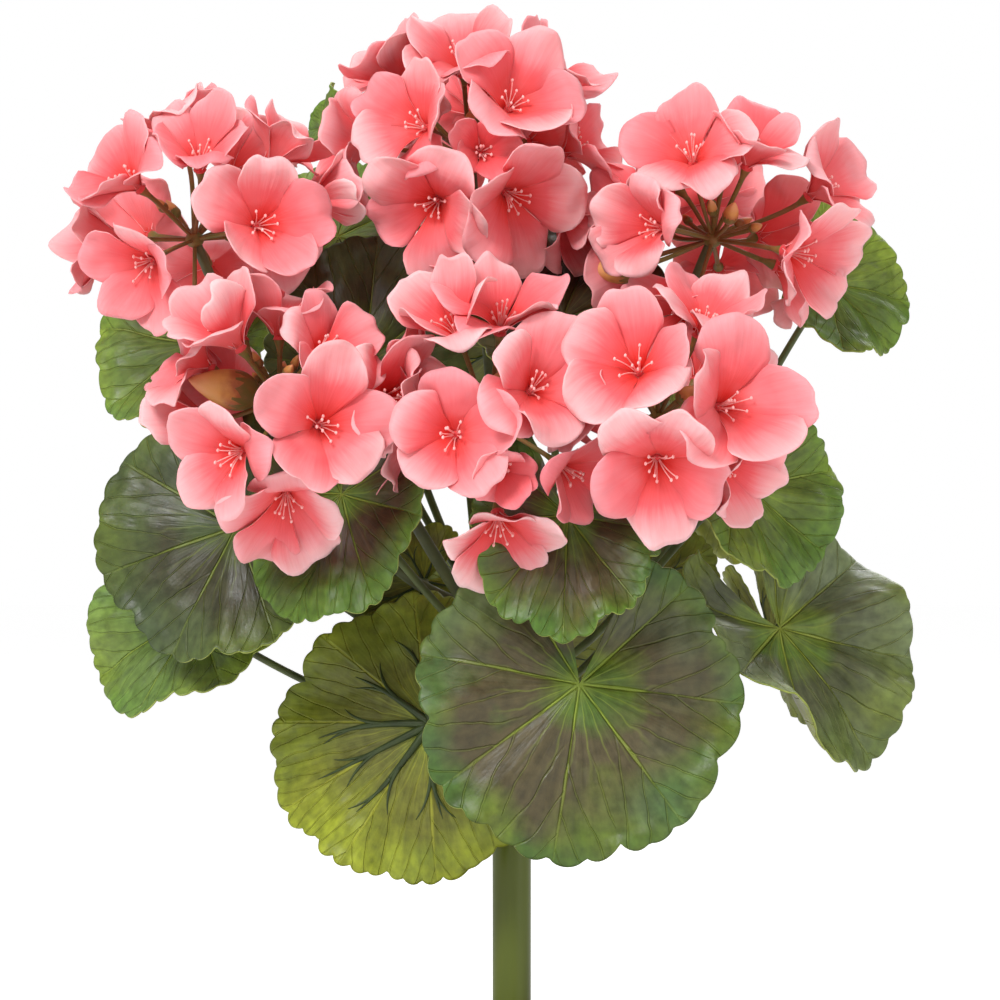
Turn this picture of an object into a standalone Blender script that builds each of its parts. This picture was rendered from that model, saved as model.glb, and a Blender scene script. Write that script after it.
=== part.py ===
"""A zonal geranium in a plain terracotta pot, in metres with +Z up.

The pot stands on z = 0 with the main stem on its axis. Leaves and flower stalks leave the stem, and each
flower stalk ends in a hub of thin flower stems that carry the florets. Nothing moves.

Directions are given as an azimuth and an elevation in degrees: azimuth 0 faces -Y, the plant's front,
90 faces +X, and elevation 90 faces up. A tip's clock direction is seen from the front: 0 is up, 90 is +X.
"""

import math
from typing import NamedTuple

import bmesh
import bpy
from mathutils import Matrix, Vector
from mathutils.geometry import interpolate_bezier

MM = 0.001
GAP = 0.3
"""Clearance between faces that touch, in mm."""

# Pot, in mm
ROUND_SIDES = 32
POT_HEIGHT = 122.0
BASE_RADIUS = 50.0
BODY_RADIUS = 67.0
RIM_RADIUS = 75.0
RIM_DEPTH = 30.0
WALL = 6.0
FLOOR = 8.0
POT_BEVEL = 1.5
DRAIN_RADIUS = 4.5
DRAIN_CIRCLE = 27.0
DRAIN_COUNT = 4

# Soil and main stem, in mm
SOIL_TOP = 108.0
SOIL_CROWN = 2.0
STEM_RADIUS = 6.6
STEM_FOOT = 62.0
STEM_TOP = 272.0
STEM_SIDES = 16

# Leaves, in mm
BLADE_THICKNESS = 1.2
BLADE_COLUMNS = 21
BLADE_ROWS = 2
BLADE_LOBES = 7
LOBE_DEPTH = 0.08
SHOULDER = 0.3
LEAF_STALK_RADIUS = 1.5
STALK_NUB = 1.1

# Flowers, in mm
FLOWER_STALK_RADIUS = 2.3
HUB_RADIUS = 4.0
PEDICEL_RADIUS = 0.9
PETAL_THICKNESS = 0.9
PETALS = 5
PETAL_WAIST = 0.62
FLORET_SPREAD = 22.0
FUNNEL_DEPTH = 0.42
THROAT = 0.3
THROAT_DEPTH = 0.16


class Leaf(NamedTuple):
    """One leaf, in mm and degrees.

    joint is where its stalk meets the blade, facing is the way that the blade's upper side looks, tip is
    the clock direction of its tip, and size is its reach from joint to tip and the share of it that the
    sides keep. cup is the rise of its rim as a share of its size, and notch is half of the open angle
    behind the joint. root is the height and the azimuth at which its stalk leaves the main stem.
    """

    name: str
    joint: tuple
    facing: tuple
    tip: float
    size: tuple
    cup: float
    notch: float
    root: tuple


class FlowerHead(NamedTuple):
    """One flower head, in mm and degrees.

    hub is where its stalk ends, root is the height and the azimuth at which the stalk leaves the main
    stem, and arrival is the azimuth and elevation of its way into the hub. florets holds the azimuth,
    elevation and reach from the hub of each floret's throat.
    """

    name: str
    hub: tuple
    root: tuple
    arrival: tuple
    florets: tuple


LEAVES = (
    Leaf("leaf_left_upper", (-109, 16, 359), (-20, 35), -125, (38, 1.0), 0.10, 10, (253, -130)),
    Leaf("leaf_left_dark", (-92, -30, 296), (-15, 12), -105, (52, 0.95), 0.08, 12, (246, -82)),
    Leaf("leaf_left_lower", (-107, 0, 266), (-25, 25), -105, (47, 0.8), 0.08, 12, (224, -90)),
    Leaf("leaf_left_front", (-56, -54, 307), (-30, 28), 190, (46, 0.8), 0.06, 42, (250, -22)),
    Leaf("leaf_olive_front", (-27, -27, 230), (165, -12), -115, (62, 0.82), 0.05, 60, (226, -48)),
    Leaf("leaf_large_front", (22, -64, 245), (6, 12), 189, (61, 0.95), 0.05, 16, (230, 15)),
    Leaf("leaf_middle_front", (18, -68, 300), (0, 32), 182, (44, 0.8), 0.06, 44, (246, 8)),
    Leaf("leaf_right_upper", (77, -42, 310), (35, 15), 115, (40, 0.9), 0.10, 20, (246, 52)),
    Leaf("leaf_right_wavy", (90, -18, 262), (22, 22), 115, (58, 0.8), 0.08, 18, (234, 70)),
    Leaf("leaf_right_high", (110, 12, 379), (25, 25), 85, (32, 1.0), 0.10, 12, (256, 92)),
    Leaf("leaf_top_small", (-66, 48, 436), (-75, 10), 10, (16, 0.9), 0.12, 12, (250, -160)),
    Leaf("leaf_left_back", (-60, 26, 396), (-10, 20), -30, (32, 0.9), 0.08, 12, (262, -155)),
    Leaf("leaf_dark_fan", (-50, -8, 351), (10, 12), 8, (45, 0.85), 0.08, 14, (266, -150)),
    Leaf("leaf_dark_middle", (17, -20, 366), (5, 25), 20, (40, 0.95), 0.08, 14, (262, 28)),
    Leaf("leaf_right_inner", (48, 28, 277), (180, 5), 105, (27, 0.9), 0.06, 14, (236, 118)),
    Leaf("leaf_left_inner", (-30, 8, 277), (-176, 2), -120, (26, 0.9), 0.04, 14, (232, -114)),
    Leaf("leaf_back_left", (-72, 62, 312), (-148, 38), -125, (46, 0.95), 0.10, 12, (246, -142)),
    Leaf("leaf_back_right", (68, 70, 318), (148, 38), 125, (46, 0.95), 0.10, 12, (248, 156)),
    Leaf("leaf_back_low", (4, 80, 258), (178, 30), 175, (50, 0.95), 0.10, 12, (232, 178)),
    Leaf("leaf_back_high", (0, 72, 362), (-178, 48), -176, (42, 0.95), 0.10, 12, (256, -174)),
    Leaf("leaf_back_side", (92, 54, 258), (115, 30), 130, (42, 0.95), 0.10, 12, (226, 122)),
)

FLOWER_HEADS = (
    FlowerHead(
        "left",
        (-106, -28, 392),
        (268, -84),
        (-60, 65),
        ((-16, -15, 34), (42, 3, 34), (12, 46, 34), (-62, 20, 36), (150, 40, 34), (-150, 5, 34)),
    ),
    FlowerHead(
        "top",
        (-14, -10, 420),
        (268, 180),
        (-20, 75),
        ((-8, 56, 34), (24, 14, 36), (-42, 8, 36), (-12, -38, 34), (92, 6, 36), (178, 30, 34)),
    ),
    FlowerHead(
        "right",
        (67, -28, 392),
        (264, 76),
        (60, 60),
        ((-19, 38, 34), (92, 38, 36), (-40, -4, 34), (40, -14, 36), (-14, -56, 34), (178, 25, 34)),
    ),
    FlowerHead(
        "low_left",
        (-76, -60, 338),
        (262, -36),
        (-60, -5),
        ((30, -14, 34), (-32, -32, 34), (-45, 25, 34), (0, -55, 34)),
    ),
    FlowerHead(
        "low_middle",
        (-8, -66, 331),
        (265, 0),
        (-5, 40),
        ((-20, -10, 34), (30, 16, 34), (20, -48, 34), (-25, 56, 34)),
    ),
    FlowerHead(
        "low_right",
        (47, -70, 331),
        (258, 44),
        (30, 12),
        ((-16, 30, 34), (-2, -36, 34), (52, 2, 36), (50, 58, 34)),
    ),
)


def direction(azimuth, elevation):
    """Unit vector of an azimuth and an elevation in degrees."""
    turn = math.radians(azimuth)
    lift = math.radians(elevation)
    level = math.cos(lift)
    return Vector((math.sin(turn) * level, -math.cos(turn) * level, math.sin(lift)))


def posed(place, facing, clock):
    """Matrix of a flat shape: its +Z looks along facing and its +Y towards the clock direction."""
    normal = facing.normalized()
    turn = math.radians(clock)
    wanted = Vector((math.sin(turn), 0, math.cos(turn)))
    along = (wanted - wanted.dot(normal) * normal).normalized()
    across = along.cross(normal)
    rows = Matrix((across, along, normal)).transposed()
    return Matrix.Translation(place) @ rows.to_4x4()


def painted(thing, name, colour, roughness):
    """Gives an object a plain Principled material of its own."""
    material = bpy.data.materials.new(name)
    material.use_nodes = True
    shader = material.node_tree.nodes["Principled BSDF"]
    shader.inputs["Base Color"].default_value = (*colour, 1.0)
    shader.inputs["Roughness"].default_value = roughness
    shader.inputs["Metallic"].default_value = 0.0
    thing.data.materials.clear()
    thing.data.materials.append(material)
    return thing


def add_object(name, bm):
    """Makes an object of a bmesh and frees the bmesh."""
    mesh = bpy.data.meshes.new(name)
    bm.to_mesh(mesh)
    bm.free()
    thing = bpy.data.objects.new(name, mesh)
    bpy.context.collection.objects.link(thing)
    return thing


def settle(thing):
    """Applies an object's modifiers."""
    graph = bpy.context.evaluated_depsgraph_get()
    mesh = bpy.data.meshes.new_from_object(thing.evaluated_get(graph))
    thing.modifiers.clear()
    thing.data = mesh
    return thing


def combine(thing, tools, operation):
    """Joins the tools to the thing or cuts them from it, and removes them."""
    for tool in tools:
        step = thing.modifiers.new(tool.name, "BOOLEAN")
        step.operation = operation
        step.solver = "EXACT"
        step.object = tool
    settle(thing)
    for tool in tools:
        bpy.data.objects.remove(tool)
    return thing


def turned(name, profile):
    """Closed solid turned about the Z axis from a profile of (radius, height) pairs in mm.

    The profile starts and ends on the axis, and runs from the bottom outwards and up.
    """
    bm = bmesh.new()
    points = [bm.verts.new((radius * MM, 0, height * MM)) for radius, height in profile]
    edges = [bm.edges.new(pair) for pair in zip(points, points[1:])]
    bmesh.ops.spin(
        bm,
        geom=points + edges,
        axis=(0, 0, 1),
        cent=(0, 0, 0),
        steps=ROUND_SIDES,
        angle=math.tau,
        use_merge=True,
    )
    bmesh.ops.remove_doubles(bm, verts=bm.verts, dist=0.01 * MM)
    bmesh.ops.recalc_face_normals(bm, faces=bm.faces)
    return add_object(name, bm)


def upright_cylinder(name, place, radius, bottom, top, sides):
    """Closed upright cylinder, in mm."""
    bm = bmesh.new()
    middle = Vector((place[0], place[1], (bottom + top) / 2)) * MM
    bmesh.ops.create_cone(
        bm,
        cap_ends=True,
        segments=sides,
        radius1=radius * MM,
        radius2=radius * MM,
        depth=(top - bottom) * MM,
        matrix=Matrix.Translation(middle),
    )
    return add_object(name, bm)


def rod(name, points, radius, end_radius, sides):
    """Closed round rod along a list of points, with 4 or 6 sides."""
    curve = bpy.data.curves.new(name, "CURVE")
    curve.dimensions = "3D"
    curve.bevel_depth = 1.0
    curve.bevel_resolution = (sides - 4) // 2
    curve.use_fill_caps = True
    spline = curve.splines.new("POLY")
    spline.points.add(len(points) - 1)
    last = len(points) - 1
    for number, point in enumerate(points):
        spline.points[number].co = (*point, 1.0)
        spline.points[number].radius = (radius + (end_radius - radius) * number / last) * MM
    thing = bpy.data.objects.new(name, curve)
    bpy.context.collection.objects.link(thing)
    graph = bpy.context.evaluated_depsgraph_get()
    mesh = bpy.data.meshes.new_from_object(thing.evaluated_get(graph))
    bpy.data.objects.remove(thing)
    rod_object = bpy.data.objects.new(name, mesh)
    bpy.context.collection.objects.link(rod_object)
    return rod_object


def inner_radius(height):
    """The pot's inner radius in mm at a height in mm."""
    share = (height - FLOOR) / (POT_HEIGHT - FLOOR)
    return BASE_RADIUS - WALL + 1.0 + (BODY_RADIUS - BASE_RADIUS) * share


def build_pot():
    """Plain pot with a thick rim band and drain holes."""
    rim_foot = POT_HEIGHT - RIM_DEPTH
    pot = turned(
        "pot",
        (
            (0, 0),
            (BASE_RADIUS - POT_BEVEL, 0),
            (BASE_RADIUS, POT_BEVEL),
            (BODY_RADIUS, rim_foot),
            (RIM_RADIUS - 1.0, rim_foot),
            (RIM_RADIUS, POT_HEIGHT - POT_BEVEL),
            (RIM_RADIUS - POT_BEVEL, POT_HEIGHT),
            (inner_radius(POT_HEIGHT) + POT_BEVEL, POT_HEIGHT),
            (inner_radius(POT_HEIGHT - POT_BEVEL), POT_HEIGHT - POT_BEVEL),
            (inner_radius(FLOOR), FLOOR),
            (0, FLOOR),
        ),
    )
    holes = []
    for number in range(DRAIN_COUNT):
        turn = math.tau * (number + 0.5) / DRAIN_COUNT
        place = (DRAIN_CIRCLE * math.cos(turn), DRAIN_CIRCLE * math.sin(turn))
        holes.append(upright_cylinder(f"hole_{number}", place, DRAIN_RADIUS, -5, FLOOR + 5, 12))
    combine(pot, holes, "DIFFERENCE")
    painted(pot, "terracotta", (0.50, 0.20, 0.10), 0.85)


def build_soil():
    """Soil that fills the pot to under its rim, with a well for the stem's foot."""
    floor = FLOOR + GAP
    clearance = GAP + 0.1
    well_radius = STEM_RADIUS + GAP + 0.1
    soil = turned(
        "soil",
        (
            (0, floor),
            (inner_radius(floor) - clearance, floor),
            (inner_radius(SOIL_TOP) - clearance, SOIL_TOP),
            (inner_radius(SOIL_TOP) * 0.6, SOIL_TOP + SOIL_CROWN * 0.8),
            (well_radius, SOIL_TOP + SOIL_CROWN),
            (well_radius, STEM_FOOT - GAP),
            (0, STEM_FOOT - GAP),
        ),
    )
    painted(soil, "soil", (0.05, 0.03, 0.02), 0.95)


def build_main_stem():
    """Straight main stem from inside the soil to where the upper stalks leave it."""
    stem = upright_cylinder("main_stem", (0, 0), STEM_RADIUS, STEM_FOOT, STEM_TOP, STEM_SIDES)
    painted(stem, "stem_skin", (0.12, 0.15, 0.03), 0.6)


def stalk_route(root, end, arrival, radius, steps):
    """Points of a stalk that leaves the stem level and reaches its end along the arrival direction."""
    height, azimuth = root
    outward = direction(azimuth, 0)
    start = (outward * (STEM_RADIUS + GAP + radius * 0.4) + Vector((0, 0, height))) * MM
    length = (end - start).length
    first = start + outward * length * 0.28
    last = end - arrival * length * 0.32
    return interpolate_bezier(start, first, last, end, steps + 1)


def blade_outline(angle, column):
    """Reach of a blade's rim at an angle from its tip and in a column, as a share of its size."""
    between_lobes = column % (BLADE_COLUMNS // BLADE_LOBES) == 0
    return (1 - SHOULDER * (angle / math.pi) ** 2) * (1 - LOBE_DEPTH * between_lobes)


def build_leaf(leaf):
    """One leaf: a lobed, slightly cupped blade on its stalk."""
    normal = direction(*leaf.facing)
    joint = Vector(leaf.joint) * MM
    frame = posed(joint, normal, leaf.tip)
    sweep = math.pi - math.radians(leaf.notch)
    length, width = leaf.size
    bm = bmesh.new()
    bmesh.ops.create_grid(bm, x_segments=BLADE_COLUMNS, y_segments=BLADE_ROWS, size=1.0)
    for vertex in bm.verts:
        angle = vertex.co.x * sweep
        share = (vertex.co.y + 1) / 2
        column = round((vertex.co.x + 1) / 2 * BLADE_COLUMNS)
        reach = length * MM * share * blade_outline(angle, column)
        rise = leaf.cup * length * MM * share**2
        vertex.co = frame @ Vector((math.sin(angle) * reach * width, math.cos(angle) * reach, rise))
    bmesh.ops.remove_doubles(bm, verts=bm.verts, dist=0.01 * MM)
    bmesh.ops.triangulate(bm, faces=bm.faces)
    blade = add_object(leaf.name, bm)
    sheet = blade.modifiers.new("sheet", "SOLIDIFY")
    sheet.thickness = BLADE_THICKNESS * MM
    sheet.offset = 0.0
    settle(blade)
    route = stalk_route(leaf.root, joint + normal * STALK_NUB * MM, normal, LEAF_STALK_RADIUS, 6)
    stalk = rod("stalk", route, LEAF_STALK_RADIUS, LEAF_STALK_RADIUS * 0.8, 6)
    combine(blade, [stalk], "UNION")
    painted(blade, leaf.name, (0.10, 0.16, 0.04), 0.55)


def floret_places():
    """Name, hub, facing, throat and centre of every floret, in metres."""
    places = []
    for head in FLOWER_HEADS:
        hub = Vector(head.hub) * MM
        for number, (azimuth, elevation, reach) in enumerate(head.florets, 1):
            facing = direction(azimuth, elevation)
            throat = hub + facing * reach * MM
            centre = throat + facing * FUNNEL_DEPTH * FLORET_SPREAD * MM
            places.append((f"floret_{head.name}_{number}", facing, throat, centre))
    return places


def build_florets():
    """Five-petalled funnels, each as wide as its neighbours leave room for."""
    places = floret_places()
    for name, facing, throat, centre in places:
        others = [other for label, _, _, other in places if label != name]
        nearest = min((centre - other).length for other in others)
        spread = min(FLORET_SPREAD * MM, nearest / 2 - GAP * MM)
        columns = PETALS * 2
        bm = bmesh.new()
        bmesh.ops.create_grid(bm, x_segments=columns, y_segments=2, size=1.0)
        frame = posed(throat, facing, 0 if abs(facing.z) < 0.9 else 90)
        for vertex in bm.verts:
            turn = vertex.co.x * math.pi
            ring = round(vertex.co.y + 1)
            between = round((vertex.co.x + 1) / 2 * columns) % 2
            reach = (0.0, THROAT, PETAL_WAIST if between else 1.0)[ring] * spread
            rise = (0.0, THROAT_DEPTH, FUNNEL_DEPTH)[ring] * spread
            vertex.co = frame @ Vector((math.sin(turn) * reach, math.cos(turn) * reach, rise))
        bmesh.ops.remove_doubles(bm, verts=bm.verts, dist=0.01 * MM)
        bmesh.ops.triangulate(bm, faces=bm.faces)
        floret = add_object(name, bm)
        sheet = floret.modifiers.new("sheet", "SOLIDIFY")
        sheet.thickness = PETAL_THICKNESS * MM
        sheet.offset = 1.0
        settle(floret)
        painted(floret, name, (0.90, 0.30, 0.30), 0.6)


def build_flower_stalk(head):
    """One flower stalk: its rod, the hub and a thin flower stem up to each floret's throat."""
    hub = Vector(head.hub) * MM
    route = stalk_route(head.root, hub, direction(*head.arrival), FLOWER_STALK_RADIUS, 8)
    stalk = rod(f"flower_stalk_{head.name}", route, FLOWER_STALK_RADIUS, FLOWER_STALK_RADIUS * 0.75, 6)
    bm = bmesh.new()
    bmesh.ops.create_icosphere(
        bm, subdivisions=2, radius=HUB_RADIUS * MM, matrix=Matrix.Translation(hub)
    )
    tools = [add_object("hub", bm)]
    for azimuth, elevation, reach in head.florets:
        facing = direction(azimuth, elevation)
        end = hub + facing * (reach - GAP) * MM
        tools.append(rod("flower_stem", [hub, end], PEDICEL_RADIUS, PEDICEL_RADIUS, 4))
    combine(stalk, tools, "UNION")
    painted(stalk, stalk.name, (0.16, 0.20, 0.06), 0.6)


def main():
    """Builds the whole plant."""
    for thing in list(bpy.data.objects):
        bpy.data.objects.remove(thing)
    build_pot()
    build_soil()
    build_main_stem()
    for leaf in LEAVES:
        build_leaf(leaf)
    for head in FLOWER_HEADS:
        build_flower_stalk(head)
    build_florets()


main()
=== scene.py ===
"""Looks of a potted zonal geranium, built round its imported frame.

Six heads of coral-pink florets stand over round, scalloped leaves on one smooth olive stem, in a plain
terracotta pot. Lengths are in millimetres until a mesh is made, and the frame is in metres with +Z up.

Directions are an azimuth and an elevation in degrees: azimuth 0 faces -Y, the plant's front, 90 faces
+X, and elevation 90 faces up. A clock direction is seen from the front: 0 is up and 90 is +X.
"""

from __future__ import annotations

import logging
import math
import random
from dataclasses import dataclass
from enum import Enum
from typing import Callable, Sequence

import bmesh
import bpy
from mathutils import Matrix, Vector, noise
from mathutils.geometry import interpolate_bezier

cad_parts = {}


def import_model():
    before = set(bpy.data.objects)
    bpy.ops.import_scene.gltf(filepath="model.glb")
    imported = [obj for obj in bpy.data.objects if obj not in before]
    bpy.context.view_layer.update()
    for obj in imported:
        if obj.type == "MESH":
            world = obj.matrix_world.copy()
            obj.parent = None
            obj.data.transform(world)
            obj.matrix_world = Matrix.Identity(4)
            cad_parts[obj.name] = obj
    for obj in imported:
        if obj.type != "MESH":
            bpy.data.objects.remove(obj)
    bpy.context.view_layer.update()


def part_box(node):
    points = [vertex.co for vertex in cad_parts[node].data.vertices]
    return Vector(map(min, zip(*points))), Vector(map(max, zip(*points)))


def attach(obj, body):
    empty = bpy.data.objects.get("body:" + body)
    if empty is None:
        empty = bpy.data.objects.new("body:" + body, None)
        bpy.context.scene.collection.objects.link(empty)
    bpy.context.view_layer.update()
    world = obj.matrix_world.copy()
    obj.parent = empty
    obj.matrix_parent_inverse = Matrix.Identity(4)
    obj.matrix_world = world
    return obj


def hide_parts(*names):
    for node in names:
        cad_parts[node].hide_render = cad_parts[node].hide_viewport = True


LOG = logging.getLogger("geranium")
MM = 0.001
ROOT = "root"
Pair = tuple[float, float]
Triple = tuple[float, float, float]


# ---------------------------------------------------------------- directions and colours


def direction(azimuth: float, elevation: float) -> Vector:
    """Returns the unit vector of an azimuth and an elevation.

    Args:
        azimuth: Degrees from the front, towards +X.
        elevation: Degrees above level.

    Returns:
        The unit vector.
    """
    turn, lift = math.radians(azimuth), math.radians(elevation)
    level = math.cos(lift)
    return Vector((math.sin(turn) * level, -math.cos(turn) * level, math.sin(lift)))


def posed(place: Vector, facing: Vector, clock: float) -> Matrix:
    """Returns the matrix of a shape whose +Z looks along facing and whose +Y points to a clock direction.

    Args:
        place: Where the shape's origin goes.
        facing: The way that its +Z looks.
        clock: Clock direction of its +Y, in degrees.

    Returns:
        The matrix.
    """
    normal = facing.normalized()
    turn = math.radians(clock)
    wanted = Vector((math.sin(turn), 0, math.cos(turn)))
    along = wanted - wanted.dot(normal) * normal
    if along.length < 0.05:
        along = Vector((0, -1, 0)) - Vector((0, -1, 0)).dot(normal) * normal
    along.normalize()
    across = along.cross(normal)
    return Matrix.Translation(place) @ Matrix((across, along, normal)).transposed().to_4x4()


def smooth(low: float, high: float, value: float) -> float:
    """Returns the smooth step of value from 0 at low to 1 at high."""
    share = min(max((value - low) / (high - low), 0.0), 1.0)
    return share * share * (3 - 2 * share)


def linear(code: str) -> tuple[float, float, float, float]:
    """Returns the linear colour of an sRGB hex code such as "#F98A8F"."""
    parts = [int(code[place : place + 2], 16) / 255 for place in (1, 3, 5)]
    red, green, blue = [
        part / 12.92 if part <= 0.04045 else ((part + 0.055) / 1.055) ** 2.4 for part in parts
    ]
    return (red, green, blue, 1.0)


# ---------------------------------------------------------------- materials


def add(
    tree: bpy.types.NodeTree, kind: str, inputs: dict, pick: int = 0, **settings
) -> bpy.types.NodeSocket:
    """Adds a node with its settings and links.

    Args:
        tree: The node tree.
        kind: The node's type, without its ShaderNode prefix.
        inputs: Socket name or number to a value, or to the output that feeds it.
        pick: Number of the output to return.
        **settings: The node's own properties, and stops, the places and hex codes of a colour ramp.

    Returns:
        The node's picked output, or its first input where it has no output.
    """
    made = tree.nodes.new("ShaderNode" + kind)
    stops = settings.pop("stops", ())
    for name, value in settings.items():
        setattr(made, name, value)
    for _ in stops[2:]:
        made.color_ramp.elements.new(0.5)
    for number, (place, code) in enumerate(stops):
        made.color_ramp.elements[number].position = place
        made.color_ramp.elements[number].color = linear(code)
    for name, value in inputs.items():
        if isinstance(value, bpy.types.NodeSocket):
            tree.links.new(value, made.inputs[name])
        else:
            made.inputs[name].default_value = value
    return made.outputs[pick] if len(made.outputs) else made.inputs[0]


def centred(
    tree: bpy.types.NodeTree, along: bpy.types.NodeSocket, repeats: float
) -> bpy.types.NodeSocket:
    """Returns the offset from the middle of the nearest repeat of a pattern.

    Args:
        tree: The node tree.
        along: The output that the pattern runs along.
        repeats: Repeats per unit.

    Returns:
        The offset, from -0.5 to 0.5.
    """
    for operation, value in (("MULTIPLY", repeats), ("FRACT", 0.0), ("SUBTRACT", 0.5)):
        along = add(tree, "Math", {0: along, 1: value}, operation=operation)
    return along


def new_material(name: str) -> tuple[bpy.types.Material, bpy.types.NodeTree]:
    """Returns a new material and its emptied node tree."""
    material = bpy.data.materials.new(name)
    material.use_nodes = True
    material.node_tree.nodes.clear()
    return material, material.node_tree


def finish_material(tree: bpy.types.NodeTree, sockets: dict) -> None:
    """Adds the Principled shader with the given sockets, and the output."""
    shader = add(tree, "BsdfPrincipled", sockets)
    add(tree, "OutputMaterial", {"Surface": shader})


@dataclass(frozen=True)
class PetalFinish:
    """Dyed and heat-pressed silk petal: a matt cloth, red in the throat and pale at the tip; the throat's red
    is partly dye and partly painted shade.
    """

    name: str
    stops: tuple
    pale: str = "#FBDAD9"
    # painted shade: the deeper red that florets in shade are mixed towards
    painted_shade: str = "#E5484B"

    def build(self) -> bpy.types.Material:
        """Returns the material, which reads the petal's UV map and its tone attribute."""
        material, tree = new_material(self.name)
        uv = add(tree, "UVMap", {}, uv_map="along")
        along = add(tree, "SeparateXYZ", {0: uv}, 1)
        place = add(tree, "TexCoord", {}, 3)
        tone = add(tree, "Attribute", {}, attribute_name="tone")
        # the tone's second channel says how far the petal is painted a deeper red for shade
        paleness = add(tree, "SeparateColor", {0: tone})
        depth = add(tree, "SeparateColor", {0: tone}, 1)
        # long dye streaks, about 1 mm apart, that run from the throat to the tip
        streak_place = add(tree, "Mapping", {0: uv, "Scale": (22, 2.2, 1)})
        streaks = add(tree, "TexNoise", {"Vector": streak_place, "Scale": 1.0, "Detail": 3.0})
        clouds = add(tree, "TexNoise", {"Vector": place, "Scale": 55.0, "Detail": 2.0})
        shift = add(tree, "Math", {0: streaks, 1: 0.5}, operation="SUBTRACT")
        shifted = add(tree, "Math", {0: shift, 1: 0.22, 2: along}, operation="MULTIPLY_ADD")
        base = add(tree, "ValToRGB", {0: shifted}, stops=self.stops)
        cloud = add(tree, "MapRange", {"Value": clouds, 1: 0.45, 2: 0.7, 3: 0.0, 4: 0.28})
        mixed = add(tree, "Mix", {0: cloud, 6: base, 7: linear("#F7A3A9")}, 2, data_type="RGBA" )
        tip = add(tree, "MapRange", {"Value": shifted, 1: 0.5, 2: 1.0, 3: 0.0, 4: 1.0})
        tip_share = add(tree, "Math", {0: tip, 1: paleness}, operation="MULTIPLY")
        faded = add(tree, "Mix", {0: tip_share, 6: mixed, 7: linear(self.pale)}, 2, data_type="RGBA" )
        # painted shade: mix towards a deeper red by the tone's second channel
        shaded_colour = add(tree, "Mix", {0: depth, 6: faded, 7: linear(self.painted_shade)}, 2, data_type="RGBA")
        # pressed creases along the petal, and the cloth's weave, drawn at 0.5 mm so that it shows
        crease_place = add(tree, "Mapping", {0: uv, "Scale": (14, 1.0, 1)})
        creases = add(tree, "TexNoise", {"Vector": crease_place, "Scale": 1.0, "Detail": 2.0})
        weave = add(tree, "TexNoise", {"Vector": place, "Scale": 2000.0, "Detail": 1.0})
        bump = add(tree, "Bump", {"Height": creases, "Strength": 0.35, "Distance": 0.0006} )
        bump = add(tree, "Bump", {"Height": weave, "Strength": 0.12, "Distance": 0.0002, "Normal": bump} )
        finish_material(
            tree,
            {
                "Base Color": shaded_colour,
                "Roughness": 0.62,
                "Normal": bump,
                "Subsurface Weight": 0.22,
                "Subsurface Radius": (1.0, 0.35, 0.3),
                "Subsurface Scale": 0.0025,
                "Sheen Weight": 0.18,
                "Sheen Roughness": 0.5,
                "Sheen Tint": linear("#FFD8D8"),
                "Specular IOR Level": 0.25,
            },
        )
        return material


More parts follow.
